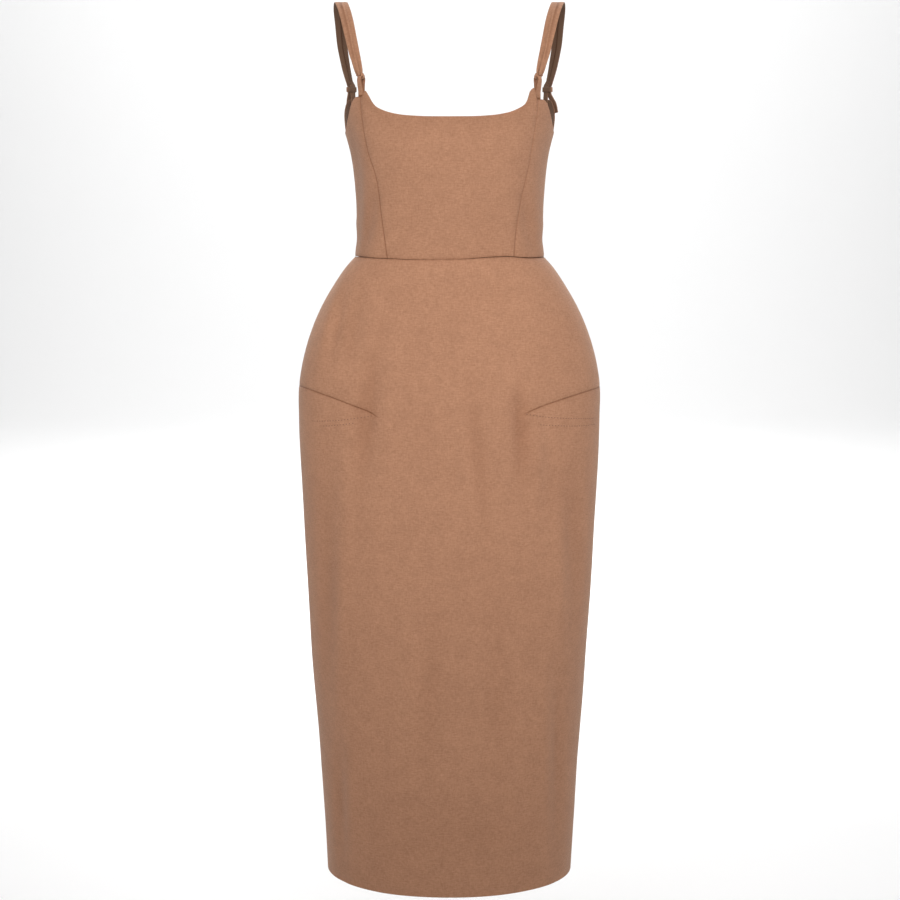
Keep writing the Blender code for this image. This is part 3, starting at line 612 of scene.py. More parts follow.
# Bodice: seams by (level, x), necklines by (x, level), armholes by (share of the panel's turn, level)
bodice = {
    "frontPrincess": {
        "left": metres(
            (-117, 114.7), (-134, 113.2), (-153, 110.8), (-174, 108.2), (-191, 105.6), (-207, 103.2),
            (-219, 100.6), (-239, 96.8), (-255, 93.6), (-270, 90.8), (-290, 87.4), (-321, 84.6), (-331, 84),
        ),
        "right": metres(
            (-117, 114.7), (-140, 112.8), (-158, 110.8), (-178, 108.1), (-198, 103.4), (-219, 96.4),
            (-239, 92.6), (-257, 90.3), (-274, 88.3), (-301, 84.5), (-331, 80.6),
        ),
    },
    "backPrincess": metres(
        (-119, 133), (-150, 120), (-200, 100), (-260, 83), (-331, 74),
    ),
    # the corner beside each strap loop stands a little proud of it
    "frontNeckline": {
        "left": metres(
            (0, -149), (40, -148.2), (64, -145.7), (79, -142), (88, -138), (93.5, -134.8), (97, -131.8),
            (99.2, -128), (100.6, -123.5), (102.2, -118.5), (104.5, -114.5), (107, -112.2), (109, -111.7),
            (110.3, -113), (111.2, -118), (112, -124), (113.2, -126), (116, -126.2),
        ),
        "right": metres(
            (0, -149), (40, -148.3), (64, -146), (79, -142.4), (88, -138.8), (94.5, -134.7), (99, -129.2),
            (103, -122.5), (106, -117.8), (108, -115.2), (109.4, -115), (110.6, -117.5), (111.6, -121.5),
            (112.8, -122.7), (116, -122.8),
        ),
    },
    "frontArmhole": {
        "left": metres(
            (0, -126.2), (0.09, -126.3), (0.14, -126.8), (0.2, -129), (0.34, -141.5), (0.48, -153),
            (0.64, -162.5), (0.82, -167), (1, -168),
            plain=(0,),
        ),
        "right": metres(
            (0, -122.8), (0.09, -122.9), (0.14, -123.8), (0.2, -127.5), (0.34, -141.5), (0.48, -153),
            (0.64, -162.5), (0.82, -167), (1, -168),
            plain=(0,),
        ),
    },
    "backArmhole": metres(
        (0, -168), (0.08, -164), (0.16, -155.5), (0.26, -145), (0.4, -134.5), (0.6, -126.2), (0.82, -123),
        (1, -122.5),
        plain=(0,),
    ),
    "backNeckline": metres(
        (0, -166), (50, -164.5), (80, -159), (99, -149), (112, -136), (121, -126.5), (126, -123),
        (133, -122.5),
    ),
    # shade along the top edge: in front only beside the strap loop, behind all the way
    "loopShade": {"from": 0.1092, "to": 0.1205, "soft": 0.0008, "dark": 0.9, "width": 0.0009},
    "backShade": {"dark": 0.7, "width": 0.0008},
    "neckShadeReach": 0.019,
    "flatSizes": {  # bounding size of each cut, and its area
        "centreFront": ((0.234, 0.222), 0.0392),
        "sideFront": ((0.104, 0.215), 0.0171),
        "sideBack": ((0.104, 0.212), 0.0150),
        "back": ((0.146, 0.212), 0.0167),
    },
}


def turnAtX(form, x, level, behind=False):
    half, *_depths, frontPower, backPower = sectionAt(form, level)
    power = backPower if behind else frontPower
    turn = np.arcsin(np.minimum(1.0, np.abs(x) / half) ** (power / 2))
    return np.copysign(math.pi - turn if behind else turn, x)


def frontSeam(level, side="left"):
    return turnAtX(bodiceForm, readCurve(bodice["frontPrincess"][side], level), level)


def frontSeamRight(level):
    return frontSeam(level, "right")


def otherFrontSeam(level):
    return -frontSeamRight(level)


def backSeam(level):
    return turnAtX(bodiceForm, readCurve(bodice["backPrincess"], level), level, behind=True)


def sideSeam(_level):
    return math.pi / 2


def otherSideSeam(_level):
    return -math.pi / 2


def bodiceCentreBack(level):
    return turnAtX(bodiceForm, sewing["gap"] / 2, level, behind=True)


def topLevels(turnTable, start, end, edge, byX):
    # where each column meets the top edge, found by settling its level
    level = np.full((1, turnTable.shape[1]), edge[0][1])
    for _ in range(40):
        turn = readColumns(bodiceForm, turnTable, level)
        if byX:
            key = np.abs(bodyPoint(bodiceForm, turn, level)[..., 0])
        else:
            key = (turn - start(level)) / (end(level) - start(level))
        level = level + 0.5 * (readCurve(edge, key) - level)
    return level[0]


def waistLevels(form, turnTable, sign):
    # the level of the waist seam at every column
    level = np.full((1, turnTable.shape[1]), waist)
    around = aroundAt(form, readColumns(form, turnTable, level), level)[0]
    return waist + readCurve(waistRise, sign * around)


def standOff(point, normal, depth):
    return point + normal * depth[..., None]


def layPanel(form, turnTable, level, sign, sides, byWaist, byOpen, stitched, upright):
    # the panel's smooth face, and how seams and open edges change its depth, curl and shade
    turn = readColumns(form, turnTable, level)
    around = aroundAt(form, turn, level)
    offset = relief(form, sign * around, level)
    waistShade = sewing["waistShade"] * seamShade(byWaist, sewing["waistWidth"])
    waistCurl = sewing["waistRound"] * roundedEdge(byWaist)
    return {
        "point": bodyPoint(form, turn, level),
        "normal": outwardFrom(form, turn, level),
        "chart": np.stack((sign * around, level), -1),
        # painted shade in the relief's troughs
        "hollows": sewing["hollowShade"] * np.clip(-offset / sewing["hollowDepth"], 0.0, 1.0),
        "offset": offset + seamPull(sides, level) * stitched + seamPull(byWaist, around),
        "curl": np.maximum(roundedEdge(np.minimum(sides, byOpen)), waistCurl),
        "shade": np.maximum(seamShade(sides) * upright, waistShade),
    }


def sewPanel(name, laid, inside, mirrored, dartCurl=0.0, deeper=0.0):
    point, normal, curl = laid["point"], laid["normal"], laid["curl"]
    outer = standOff(point, normal, laid["offset"] - np.maximum(curl, dartCurl))
    inner = standOff(point, normal, laid["offset"] - sewing["wall"] + curl - deeper)
    shade = np.clip(laid["shade"] + laid["hollows"], 0.0, 1.0)
    return closedShell(name, outer, inner, laid["chart"], inside, shade, mirrored)


def bodicePanel(name, node, start, end, edges, byX, kind, mirrored=False):
    turnTable, across = columnTurns(bodiceForm, start, end, edgeMarks, edgeMarks, sewing["bodiceSpacing"])
    columns = turnTable.shape[1]
    tops = [topLevels(turnTable, start, end, edge, byX) for edge in edges]
    tops = np.where(np.arange(columns) < columns // 2, tops[0], tops[-1])
    atTop = readColumns(bodiceForm, turnTable, tops[None, :])
    distance = aroundAt(bodiceForm, atTop, tops[None, :])[0]
    stretch = np.clip(np.hypot(1.0, np.gradient(tops, distance)), 1.0, sewing["topStretch"])
    between = round((tops.max() - waist) / sewing["bodiceSpacing"])
    sign = -1.0 if mirrored else 1.0
    grid = []
    lows = waistLevels(bodiceForm, turnTable, sign) + sewing["gap"] / 2
    for low, top, scale in zip(lows, tops, stretch):
        # near a steep top edge its marks are stretched to keep their true distance from it
        marks = np.minimum(np.array(topMarks) * scale, sewing["topShare"] * (top - low))
        grid.append(placeMarks(low, top, edgeMarks, marks, between))
    level = np.array(grid).T
    nearSide, farSide = marksFromEnds(edgeMarks, edgeMarks, across)
    nearWaist, nearTop = (marks[:, None] for marks in marksFromEnds(edgeMarks, topMarks, between))
    toWaist = np.clip((tops.max() - level) / (tops.max() - waist), 0.0, 1.0)
    dark = {side: high + (low - high) * toWaist for side, (high, low) in sewing["princess"].items()}
    upright = dark["right" if mirrored else "left"]
    if kind == "centreFront":
        upright = np.where(nearSide < farSide, dark["right"], dark["left"])
    sides = np.minimum(nearSide, farSide)
    laid = layPanel(bodiceForm, turnTable, level, sign, sides, nearWaist, nearTop, 1.0, upright)
    if kind in ("centreFront", "sideFront"):
        turnIn, rim = sewing["topTurn"], bodice["loopShade"]
        x = np.abs(laid["point"][..., 0])
        beside = np.clip((x - rim["from"]) / rim["soft"], 0.0, 1.0)
        beside = beside * np.clip((rim["to"] - x) / rim["soft"], 0.0, 1.0)
    else:
        turnIn, rim, beside = -1.0, bodice["backShade"], 1.0
    laid["shade"] = np.maximum(laid["shade"], rim["dark"] * beside * np.exp(-nearTop / rim["width"]))
    if kind == "centreFront":
        # painted shade in a band under the neckline
        below = (tops - level) / bodice["neckShadeReach"]
        laid["hollows"] += sewing["neckShade"] * np.exp(-(below**2))
    piece = sewPanel(name, laid, nearTop > turnIn, mirrored)
    finishPiece(piece, [node])


def makeBodice():
    necklines, armholes = bodice["frontNeckline"], bodice["frontArmhole"]
    edges = (necklines["right"], necklines["left"])
    bodicePanel("centreFront", "bodice_centre_front", otherFrontSeam, frontSeam, edges, True, "centreFront")
    for side, front in (("left", frontSeam), ("right", frontSeamRight)):
        for kind, node, start, end, edge, byX in (
            ("sideFront", "side_front", front, sideSeam, armholes[side], False),
            ("sideBack", "side_back", sideSeam, backSeam, bodice["backArmhole"], False),
            ("back", "back", backSeam, bodiceCentreBack, bodice["backNeckline"], True),
        ):
            node = f"bodice_{node}_{side}"
            bodicePanel(f"{kind}.{side}", node, start, end, (edge,), byX, kind, side == "right")


makeBodice()
print("bodice made")

# Skirt: one front with a dart in from each side seam, and two backs with a walking vent
skirt = {
    "dartPoints": {"left": 0.0985, "right": 0.0925},
    # (x, level), from the right side seam in to its dart's point, over and out to the left
    "hipDarts": metres(
        (-203, -500.8), (-190, -501.6), (-165, -507.2), (-133, -516.8), (-110, -525.5), (-100, -529.8),
        (-92.5, -533.6), (-50, -534.5), (0, -533), (50, -531), (98.5, -529), (110, -523.5), (133, -516),
        (165, -508), (190, -503.5), (203, -503),
    ),
    "dartFade": 0.0100,  # the dart's groove dies away over this much at its point
    "dartReach": 0.0036,  # and starts this far inside it
    "rowsBelow": 1.25,  # how far apart its rows lie below and above the darts, against skirtSpacing
    "rowsAbove": 1.1,
    "ventTop": -0.9700,
    "ventHalfOpen": 0.0015,
    "ventFade": 0.030,
    "facingAbove": 0.020,  # how far the vent's facing runs on above it
    "turnSoft": 0.0003,
    "underlap": {
        "left": 0.020,
        "right": 0.027,
        "columns": 24,
        "rows": 70,
        "aboveHem": 0.0016,
        "aboveVent": 0.008,
        "behind": 0.0005,
        "thick": 0.0015,
        "ripple": 0.0003,
        "rippleUp": 0.021,
        "rippleAcross": 0.008,
    },
    "frontFlat": ((0.545, 0.850), 0.4201),
    "backFlat": ((0.275, 0.850), 0.2083),
}


def skirtCentreBack(level):
    share = np.maximum(0.0, (skirt["ventTop"] - level) / (skirt["ventTop"] - hem))
    return turnAtX(skirtForm, sewing["gap"] / 2 + skirt["ventHalfOpen"] * share, level, behind=True)


def dartLevel(x):
    return readCurve(skirt["hipDarts"], x)


def ventUnderlap():
    # cut on with the right back, it lies inside the vent and runs on under the left back
    lap = skirt["underlap"]
    low, high = hem + lap["aboveHem"], skirt["ventTop"] + lap["aboveVent"]
    xs = np.linspace(lap["left"], -lap["right"], lap["columns"])
    level, x = np.meshgrid(np.linspace(low, high, lap["rows"]), xs, indexing="ij")
    turn = turnAtX(skirtForm, x, level, behind=True)
    point, normal = bodyPoint(skirtForm, turn, level), outwardFrom(skirtForm, turn, level)
    curl = roundedEdge(np.minimum.reduce((lap["left"] - x, x + lap["right"], level - low, high - level)))
    depth = relief(skirtForm, aroundAt(skirtForm, turn, level), level)
    depth += lap["ripple"] * np.sin(level / lap["rippleUp"] + 1.0) * np.sin(x / lap["rippleAcross"])
    depth -= sewing["wall"] + sewing["hemThick"] + lap["behind"]
    outer = standOff(point, normal, depth - curl)
    inner = standOff(point, normal, depth - lap["thick"] + curl)
    piece = closedShell("ventUnderlap", outer, inner, np.stack((x, level), -1), 0.0, 0.0)
    finishPiece(piece, [])
    return piece


def skirtPanel(name, node, start, end, farMarks, hasDart, mirrored=False):
    turnTable, across = columnTurns(skirtForm, start, end, edgeMarks, farMarks, sewing["skirtSpacing"])
    darts = np.full((1, turnTable.shape[1]), float(dartLevel(1.0)))
    if hasDart:
        for _ in range(30):
            turn = readColumns(skirtForm, turnTable, darts)
            darts = dartLevel(bodyPoint(skirtForm, turn, darts)[..., 0])
    below = round((darts.mean() - hem - hemMarks[-1]) / sewing["skirtSpacing"] / skirt["rowsBelow"])
    above = round((waist - darts.mean()) / sewing["skirtSpacing"] / skirt["rowsAbove"])
    sign = -1.0 if mirrored else 1.0
    grid = []
    for dart, high in zip(darts[0], waistLevels(skirtForm, turnTable, sign) - sewing["gap"] / 2):
        # rows from the hem to the dart, and on to the waist; the dart's own row comes once
        upper = placeMarks(dart, high, dartMarks, edgeMarks, above)[1:]
        grid.append(np.concatenate((placeMarks(hem, dart, hemMarks, dartMarks, below), upper)))
    level = np.array(grid).T
    nearSide, farSide = marksFromEnds(edgeMarks, farMarks, across)
    nearHem, underDart = marksFromEnds(hemMarks, dartMarks, below)
    overDart, nearWaist = marksFromEnds(dartMarks, edgeMarks, above)
    fromHem = np.concatenate((nearHem, np.full(len(overDart) - 1, np.inf)))[:, None]
    fromDart = np.concatenate((underDart, overDart[1:]))[:, None]
    fromWaist = np.concatenate((np.full(len(nearHem), np.inf), nearWaist[1:]))[:, None]
    sides = np.minimum(nearSide, farSide)
    turned = np.clip((hem + sewing["hemTurn"] - level) / skirt["turnSoft"] + 1.0, 0.0, 1.0)
    inside, stitched = 1.0 - turned, 1.0
    if not hasDart:
        onVent = np.clip((skirt["ventTop"] - level) / skirt["ventFade"], 0.0, 1.0)
        stitched = np.where(farSide < np.inf, 1.0 - onVent, 1.0)
        facing = (farSide <= sewing["ventFacing"]) & (level < skirt["ventTop"] + skirt["facingAbove"])
        inside = np.where(facing, 0.0, inside)
    laid = layPanel(skirtForm, turnTable, level, sign, sides, fromWaist, fromHem, stitched, stitched)
    share = 0.0
    if hasDart:
        x = laid["point"][..., 0]
        tip = np.where(x < 0, skirt["dartPoints"]["right"], skirt["dartPoints"]["left"])
        share = np.clip((np.abs(x) - tip + skirt["dartReach"]) / skirt["dartFade"], 0.0, 1.0)
        share = share * share * (3 - 2 * share)
        laid["offset"] += seamPull(fromDart, laid["chart"][..., 0]) * share
        laid["shade"] = np.maximum(laid["shade"], seamShade(fromDart) * share)
    edge = np.minimum(np.minimum(sides, fromWaist), fromHem)
    deeper = sewing["hemThick"] * turned * np.clip(edge / edgeMarks[-1], 0.0, 1.0)
    piece = sewPanel(name, laid, inside, mirrored, roundedEdge(fromDart) * share, deeper)
    finishPiece(piece, [node])


def makeSkirt():
    skirtPanel("skirtFront", "skirt_front", otherSideSeam, sideSeam, edgeMarks, True)
    skirtPanel("skirtBack.left", "skirt_back_left", sideSeam, skirtCentreBack, ventMarks, False)
    lap, right = [ventUnderlap()], "skirt_back_right"
    skirtPanel("skirtBack.right", right, sideSeam, skirtCentreBack, ventMarks, False, True)


makeSkirt()
print("skirt made")


# Straps: one band a shoulder, sewn behind, over and through the front loop, back and through a keeper
strap = {
    "width": 0.0080,
    "thick": 0.0019,
    "gathered": 0.0034,
    "linkDepth": 0.0035,
    "linkShift": 0.0022,
    "linkHalf": 0.0049,
    "linkRadius": 0.0019,
    "linkBottom": -0.0996,
    "linkTop": -0.0970,
    "cornerLevel": -0.1180,
    "backCornerLevel": -0.1225,
    "sewnDepth": 0.0130,
    "keeperLevel": -0.1095,
    "keeperClear": 0.0049,
    "tailShift": 0.0029,
    "sewnShift": -0.0004,
    "tailLength": 0.0310,
    "tailReach": {"left": (0.0085, 0.0035), "right": (0.0010, 0.0010)},
    "ringStep": 0.0014,
    "noLine": 0.0120,  # puts the shaded line off the band
    "besideShare": 1.1,  # and where it lies when the two runs are side by side
    "lineDark": 0.85,
    "lineShift": 0.0004,
    "lineWidth": 0.0010,
    "uneven": 0.03,
    "unevenWaves": (0.0135, 0.031),
    "sides": 20,
    "square": (0.55, 0.75),  # how square the band is across and through, 1 being round
    # painted shade on the side towards the wearer, who is taken to be round this point, and how sharply it
    # darkens
    "underside": {"from": (0.135, -0.004, -0.095), "sideways": 0.25, "sharp": 4.0, "start": 0.4},
    # painted shade on a loop from just above the panel's edge down, and along its own two edges
    "tabShade": {"above": 0.0030, "soft": 0.0014, "dark": 0.95},
    "tabEdgeShade": {"from": 0.80, "soft": 0.15, "dark": 0.7},
    "flat": (0.010, 0.560),
    "flatArea": 0.0048,
}
# x, y, z, yaw, half the gap between the two runs, how one stacks over the other, twist and width
strapStations = metres(
    (115.6, -66.2, -94.4, 34, 1.6, -0.9, 22, 7.6), (117.2, -65.6, -88, 29, 1.9, -1, 4, 7.8),
    (119.8, -64.8, -77, 24, 2.3, -1, 0, 8), (123.7, -61.2, -62, 16, 2.7, -1, 0, 8.6),
    (131.4, -45, -28, 8, 3.1, -1, 0, 9.6), (137.7, -25, -7.5, 3, 3.4, -0.8, 0, 9.6),
    (142.4, -2, 1, 0, 4.1, 0, 0, 8.6), (144.7, 19, -6.5, -3, 4.2, 0.4, 0, 8.6),
    (144.2, 35, -26, -10, 3.6, 1, 0, 8.6), (143.2, 45.5, -52, -18, 3, 1.2, 0, 8.4),
    (139, 51.6, -78, -30, 2.9, 1.2, 0, 8.4), (136, 53.2, -92, -40, 3.1, 1.2, 0, 8.4),
    (134.5, 53.8, -98.5, -44, 3, 1.2, 0, 8.2),
    plain=(3, 6),
)
# the free end: how far below the corner's edge, and its shares of the reach outboard and outward
tailStations = ((-0.0006, 0.30, 0.40), (0.0044, 0.60, 0.75))
cadWall = 0.0020
cadGap = 0.0003


def unit(vector):
    return vector / np.linalg.norm(vector, axis=-1, keepdims=True)


def squared(value, power):
    return np.sign(value) * np.abs(value) ** power


def cornerFrame(seam, level, behind=False):
    # point on the outer face at a strap corner, with its outboard and outward directions
    point = bodyPoint(bodiceForm, seam(level), level)
    normal = outwardFrom(bodiceForm, seam(level), level)
    normal = unit(np.array((normal[0], normal[1], 0.0)))
    outboard = np.array((-normal[1], normal[0], 0.0))
    return point, -outboard if behind else outboard, normal


def strapRun(sideSign):
    rows = np.column_stack((np.arange(len(strapStations)), strapStations))
    stations = []
    for at in np.linspace(0.0, len(rows) - 1.0, 4 * (len(rows) - 1) + 1):
        x, y, z, yaw, apart, stack, twist, width = smoothTable(rows, at)
        tangent = unit((smoothTable(rows, at + 0.01) - smoothTable(rows, at - 0.01))[:3])
        yaw, twist = math.radians(yaw), math.radians(twist)
        outboard = np.array((math.cos(yaw), math.sin(yaw), 0.0))
        outboard = unit(outboard - tangent * np.dot(outboard, tangent))
        outer = np.cross(tangent, outboard)
        centre = np.array((x, y, z)) + sideSign * (outboard * apart + outer * stack)
        overlap = width / 2 - 2 * apart if sideSign > 0 else -strap["noLine"]
        if stack > -cadGap:  # the two runs lie side by side here
            overlap = -sideSign * apart * strap["besideShare"]
        stations.append((centre, outboard * math.cos(twist) + outer * math.sin(twist), width, overlap))
    return stations


def atLevel(place, level):
    return np.array((place[0], place[1], level))


def strapStationsFor(side):
    plain = -strap["noLine"]
    point, outboard, normal = cornerFrame(frontSeam, strap["cornerLevel"])
    middle = point - normal * strap["linkDepth"] + outboard * strap["linkShift"]
    radius = strap["linkRadius"]
    leg = [(strap["linkHalf"], strap["linkTop"])]
    for degrees in (0, 22.5, 45, 67.5, 90):
        angle = math.radians(degrees)
        across = strap["linkHalf"] - radius + radius * math.cos(angle)
        leg.append((across, strap["linkBottom"] + radius * (1 - math.sin(angle))))
    turn = []
    for across, level in [(-across, level) for across, level in leg] + leg[::-1]:
        turn.append((atLevel(middle + outboard * across, level), normal, strap["gathered"], plain))
    corner, out, normal = cornerFrame(backSeam, strap["backCornerLevel"], behind=True)
    outSide, outBack = strap["tailReach"][side]
    lie = cadGap + cadWall / 2
    pinch = (cadWall + cadGap) / 2
    above, below = strap["keeperLevel"] + strap["keeperClear"], strap["keeperLevel"] - strap["keeperClear"]
    edge, shift = strap["backCornerLevel"], strap["tailShift"]
    sewn = [
        (above, strap["sewnShift"], -cadWall / 2 - pinch),
        (below, strap["sewnShift"], -cadWall / 2 - pinch),
        (edge + 2 * cadGap, 0.0, -cadWall - lie),
        (edge - strap["sewnDepth"], 0.0, -cadWall - lie),
    ]
    tail = [(above, shift, -cadWall / 2 + pinch), (below, shift, -cadWall / 2 + pinch)]
    for belowEdge, shareSide, shareBack in tailStations:
        tail.append((edge - belowEdge, shift + shareSide * outSide, lie + shareBack * outBack))
    tail.append((strap["keeperLevel"] - strap["tailLength"], shift + outSide, lie + outBack))
    runs = []
    for route in (sewn, tail):
        places = [(corner + out * across + normal * depth, level) for level, across, depth in route]
        runs.append([(atLevel(place, level), out, strap["width"], plain) for place, level in places])
    return runs[0][::-1] + strapRun(-1)[::-1] + turn + strapRun(1) + runs[1]


def bandMesh(name, stations, thick, ringStep, mirrored, shadeBelow=None):
    # a soft flat band through stations of (centre, width direction, width, where a shaded line runs)
    sides = strap["sides"]
    centres = np.array([station[0] for station in stations])
    gone = np.concatenate(((0.0,), np.cumsum(np.linalg.norm(np.diff(centres, axis=0), axis=1))))
    table = [(d, *c, *a, w, u) for d, (c, a, w, u) in zip(gone, stations)]
    at = np.linspace(0.0, gone[-1], max(8, round(gone[-1] / ringStep)))
    rows = smoothTable(table, at)
    centre, across, width, line = rows[:, :3], rows[:, 3:6], rows[:, 6:7], rows[:, 7:]
    tangent = unit(np.gradient(centre, at, axis=0))
    across = unit(across - tangent * np.sum(across * tangent, axis=1, keepdims=True))
    through = np.cross(tangent, across)[:, None, :]
    angles = math.tau * (np.arange(sides) + 0.5) / sides
    wide = squared(np.cos(angles), strap["square"][0])
    high = squared(np.sin(angles), strap["square"][1])
    waves = [at / wave for wave in strap["unevenWaves"]]
    soft = 1.0 + strap["uneven"] * np.sin(waves[0] + 0.6) * np.sin(waves[1])
    aside = (wide * width * soft[:, None] / 2)[..., None]
    points = centre[:, None, :] + across[:, None, :] * aside + through * (high * thick / 2)[None, :, None]
    index = np.arange(aside.size).reshape(-1, sides)
    beside = np.roll(index, -1, axis=1)
    faces = np.stack((index[:-1], beside[:-1], beside[1:], index[1:]), -1).reshape(-1, 4).tolist()
    faces += [index[0, ::-1].tolist(), index[-1].tolist()]
    chart = np.stack(np.broadcast_arrays(wide * width / 2, at[:, None]), -1)
    under = np.zeros(index.shape)
    if shadeBelow is None:
        # a painted shadow line where one run lies over the other, and painted shade on the side towards the
        # wearer
        fromLine = (wide * width / 2 - line - strap["lineShift"]) / strap["lineWidth"]
        paintedShade = strap["lineDark"] * np.exp(-(fromLine**2))
        lower = strap["underside"]
        away = (points - np.array(lower["from"])) * (lower["sideways"], 1.0, 1.0)
        facing = np.sum(through * high[None, :, None] * unit(away), axis=-1)
        under = np.clip(-facing * lower["sharp"] - lower["start"], 0.0, 1.0)
    else:
        # painted shade on the loop below the panel's edge and along its edges
        tab, rim = strap["tabShade"], strap["tabEdgeShade"]
        paintedShade = tab["dark"] * np.clip((shadeBelow + tab["above"] - points[..., 2]) / tab["soft"], 0.0, 1.0)
        edges = np.clip((np.abs(wide) - rim["from"]) / rim["soft"], 0.0, 1.0)
        paintedShade = np.maximum(paintedShade, rim["dark"] * edges)
    return clothMesh(name, points, faces, chart, under, paintedShade, mirrored), gone[-1]


def makeStraps():
    thick, step = strap["thick"], strap["ringStep"]
    for side in ("left", "right"):
        piece, length = bandMesh(f"strap.{side}", strapStationsFor(side), thick, step, side == "right")
        finishPiece(piece, [f"strap_{side}"])
        print(f"strap {side}: {length:.3f} m of band")


makeStraps()
print("straps made")

# Loops: a folded tab inside each front corner
loop = {
    "thick": 0.0016,
    "baseHalf": 0.0050,
    "neckHalf": 0.0047,
    "topHalf": 0.0039,
    "radius": 0.0034,
    "centreLevel": -0.1000,
    "neckLevel": -0.1075,
    "neckInset": 0.0012,
    "aboveEdge": 0.0015,
    "belowCorner": 0.0040,
    "sewnLevel": -0.1360,
    "ringStep": 0.0009,
    "flat": (0.0100, 0.068),
    "shadeBelow": {"left": -0.1262, "right": -0.1228},
}


def makeLoops():
    point, outboard, normal = cornerFrame(frontSeam, strap["cornerLevel"])
    point = point + outboard * strap["linkShift"]
    middle, radius, inset = -strap["linkDepth"], loop["radius"], loop["neckInset"]
    frontLeg = -(cadWall + cadGap + loop["thick"] / 2)
    backLeg = frontLeg - loop["thick"] - cadGap
    corner = strap["cornerLevel"]
    levels = (loop["sewnLevel"], corner - loop["belowCorner"], corner + loop["aboveEdge"])
    line = [(frontLeg, level, loop["baseHalf"]) for level in levels]
    line.append((middle + radius - inset, loop["neckLevel"], loop["neckHalf"]))
    for degrees in range(0, 181, 20):
        angle = math.radians(degrees)
        depth = middle + radius * math.cos(angle)
        line.append((depth, loop["centreLevel"] + radius * math.sin(angle), loop["topHalf"]))
    line.append((middle - radius + inset, loop["neckLevel"], loop["neckHalf"]))
    line += [(backLeg, level, loop["baseHalf"]) for level in levels[::-1]]
    stations = []
    for depth, level, half in line:
        stations.append((atLevel(point + normal * depth, level), outboard, 2 * half, -strap["noLine"]))
    for side, low in loop["shadeBelow"].items():
        name = f"strapLoop.{side}"
        piece, _length = bandMesh(name, stations, loop["thick"], loop["ringStep"], side == "right", low)
        finishPiece(piece, [f"strap_loop_{side}"])


makeLoops()
print("loops made")

# Keepers: a closed flat ring of cloth round both runs at each back corner, its edges rolled
keeper = {
    "height": 0.0070,
    "wall": 0.0013,
    "clear": 0.0001,
    "steps": 48,
    "profile": 10,
    "square": (0.35, 0.7, 0.5),  # how square it is round, and its edge across and along
    "flat": (0.0100, 0.034),
}


def makeKeepers():
    corner, out, normal = cornerFrame(backSeam, strap["backCornerLevel"], behind=True)
    halfThrough = (cadWall + cadGap + cadWall) / 2 + keeper["clear"]
    halfAcross = strap["width"] / 2 + keeper["clear"]
    index = np.arange(keeper["steps"] * keeper["profile"]).reshape(keeper["steps"], -1)
    ahead = np.roll(index, -1, axis=0)
    beside = np.roll(index, -1, axis=1)
    faces = np.stack((index, ahead, np.roll(ahead, -1, axis=1), beside), -1).reshape(-1, 4).tolist()
    angle = math.tau * np.arange(keeper["steps"])[:, None] / keeper["steps"]
    turn = math.tau * (np.arange(keeper["profile"]) + 0.5) / keeper["profile"]
    ringRound, across, along = keeper["square"]
    a, b = squared(np.cos(angle), ringRound), squared(np.sin(angle), ringRound)
    grow = keeper["wall"] / 2 * (1 + squared(np.cos(turn), across))
    aside = a * (halfAcross + grow) + np.where(a > 0, strap["tailShift"], strap["sewnShift"])
    points = standOff(corner, out, aside) + standOff(0.0, normal, b * (halfThrough + grow) - cadWall / 2)
    points[..., 2] = strap["keeperLevel"] + keeper["height"] / 2 * squared(np.sin(turn), along)
    # painted shade on the keeper's side towards the wearer
    under = np.clip(0.5 - 2.0 * b, 0.0, 1.0) + np.zeros(index.shape)
    for side, sign in (("left", 1.0), ("right", -1.0)):
        chart = np.stack((sign * points[..., 0] + points[..., 1], points[..., 2]), -1)
        plain = np.zeros(index.shape)
        piece = clothMesh(f"strapKeeper.{side}", points, faces, chart, under, plain, sign < 0)
        finishPiece(piece, [f"strap_keeper_{side}"])


makeKeepers()
print("keepers made")

# Zip: both tapes and the closed coil behind the centre back, its slider at the neck and the pull
zipParts = {
    "tapeHalf": 0.0120,
    "tapeThick": 0.0009,
    "behindCloth": 0.0005,
    "ripple": 0.00012,
    "rippleWave": 0.0031,
    "belowNeck": 0.0030,
    "backNeck": -0.1660,
    "columns": 17,
    "rowStep": 0.0045,
    "flat": (0.024, 0.336),
    "toothPitch": 0.0015,
    "toothSize": (0.0009, 0.0019, 0.0008),
    "toothUneven": 0.03,
    "toothAside": 0.0008,
    "toothBehind": 0.0003,
    "edgeSoft": 0.00018,  # how far the metal's edges are eased
    "edgeAngle": 35.0,  # degrees at which an edge counts as one
    "shadeAngle": 40.0,
}
# Stitches: length and thickness of one, how far apart they are, and how unevenly they lie
stitches = {
    "hip": {"size": (0.0021, 0.00115, 0.00115), "pitch": 0.0044, "uneven": 0.12, "sunk": 0.0001},
    "hem": {"size": (0.0024, 0.00030, 0.00030), "pitch": 0.0082, "uneven": 0.3, "sunk": 0.0003},
    "aboveTurn": 0.0004,
    "fromSide": 0.01,  # where the hem's rows stop short of the side seams and the vent, as turns in radians
    "fromVent": 0.12,
    "points": 160,
    "hipRows": (  # (x, level) along each row under the darts, two on the left side and two on the right
        (1, metres((101, -530), (130, -535), (160, -538.5), (190, -542))),
        (1, metres((118, -544), (150, -547.5), (180, -550), (193, -550.5))),
        (-1, metres((103, -532.5), (125, -536.5), (150, -540.5), (180, -544))),
        (-1, metres((126, -542.5), (145, -546), (165, -549))),
    ),
}


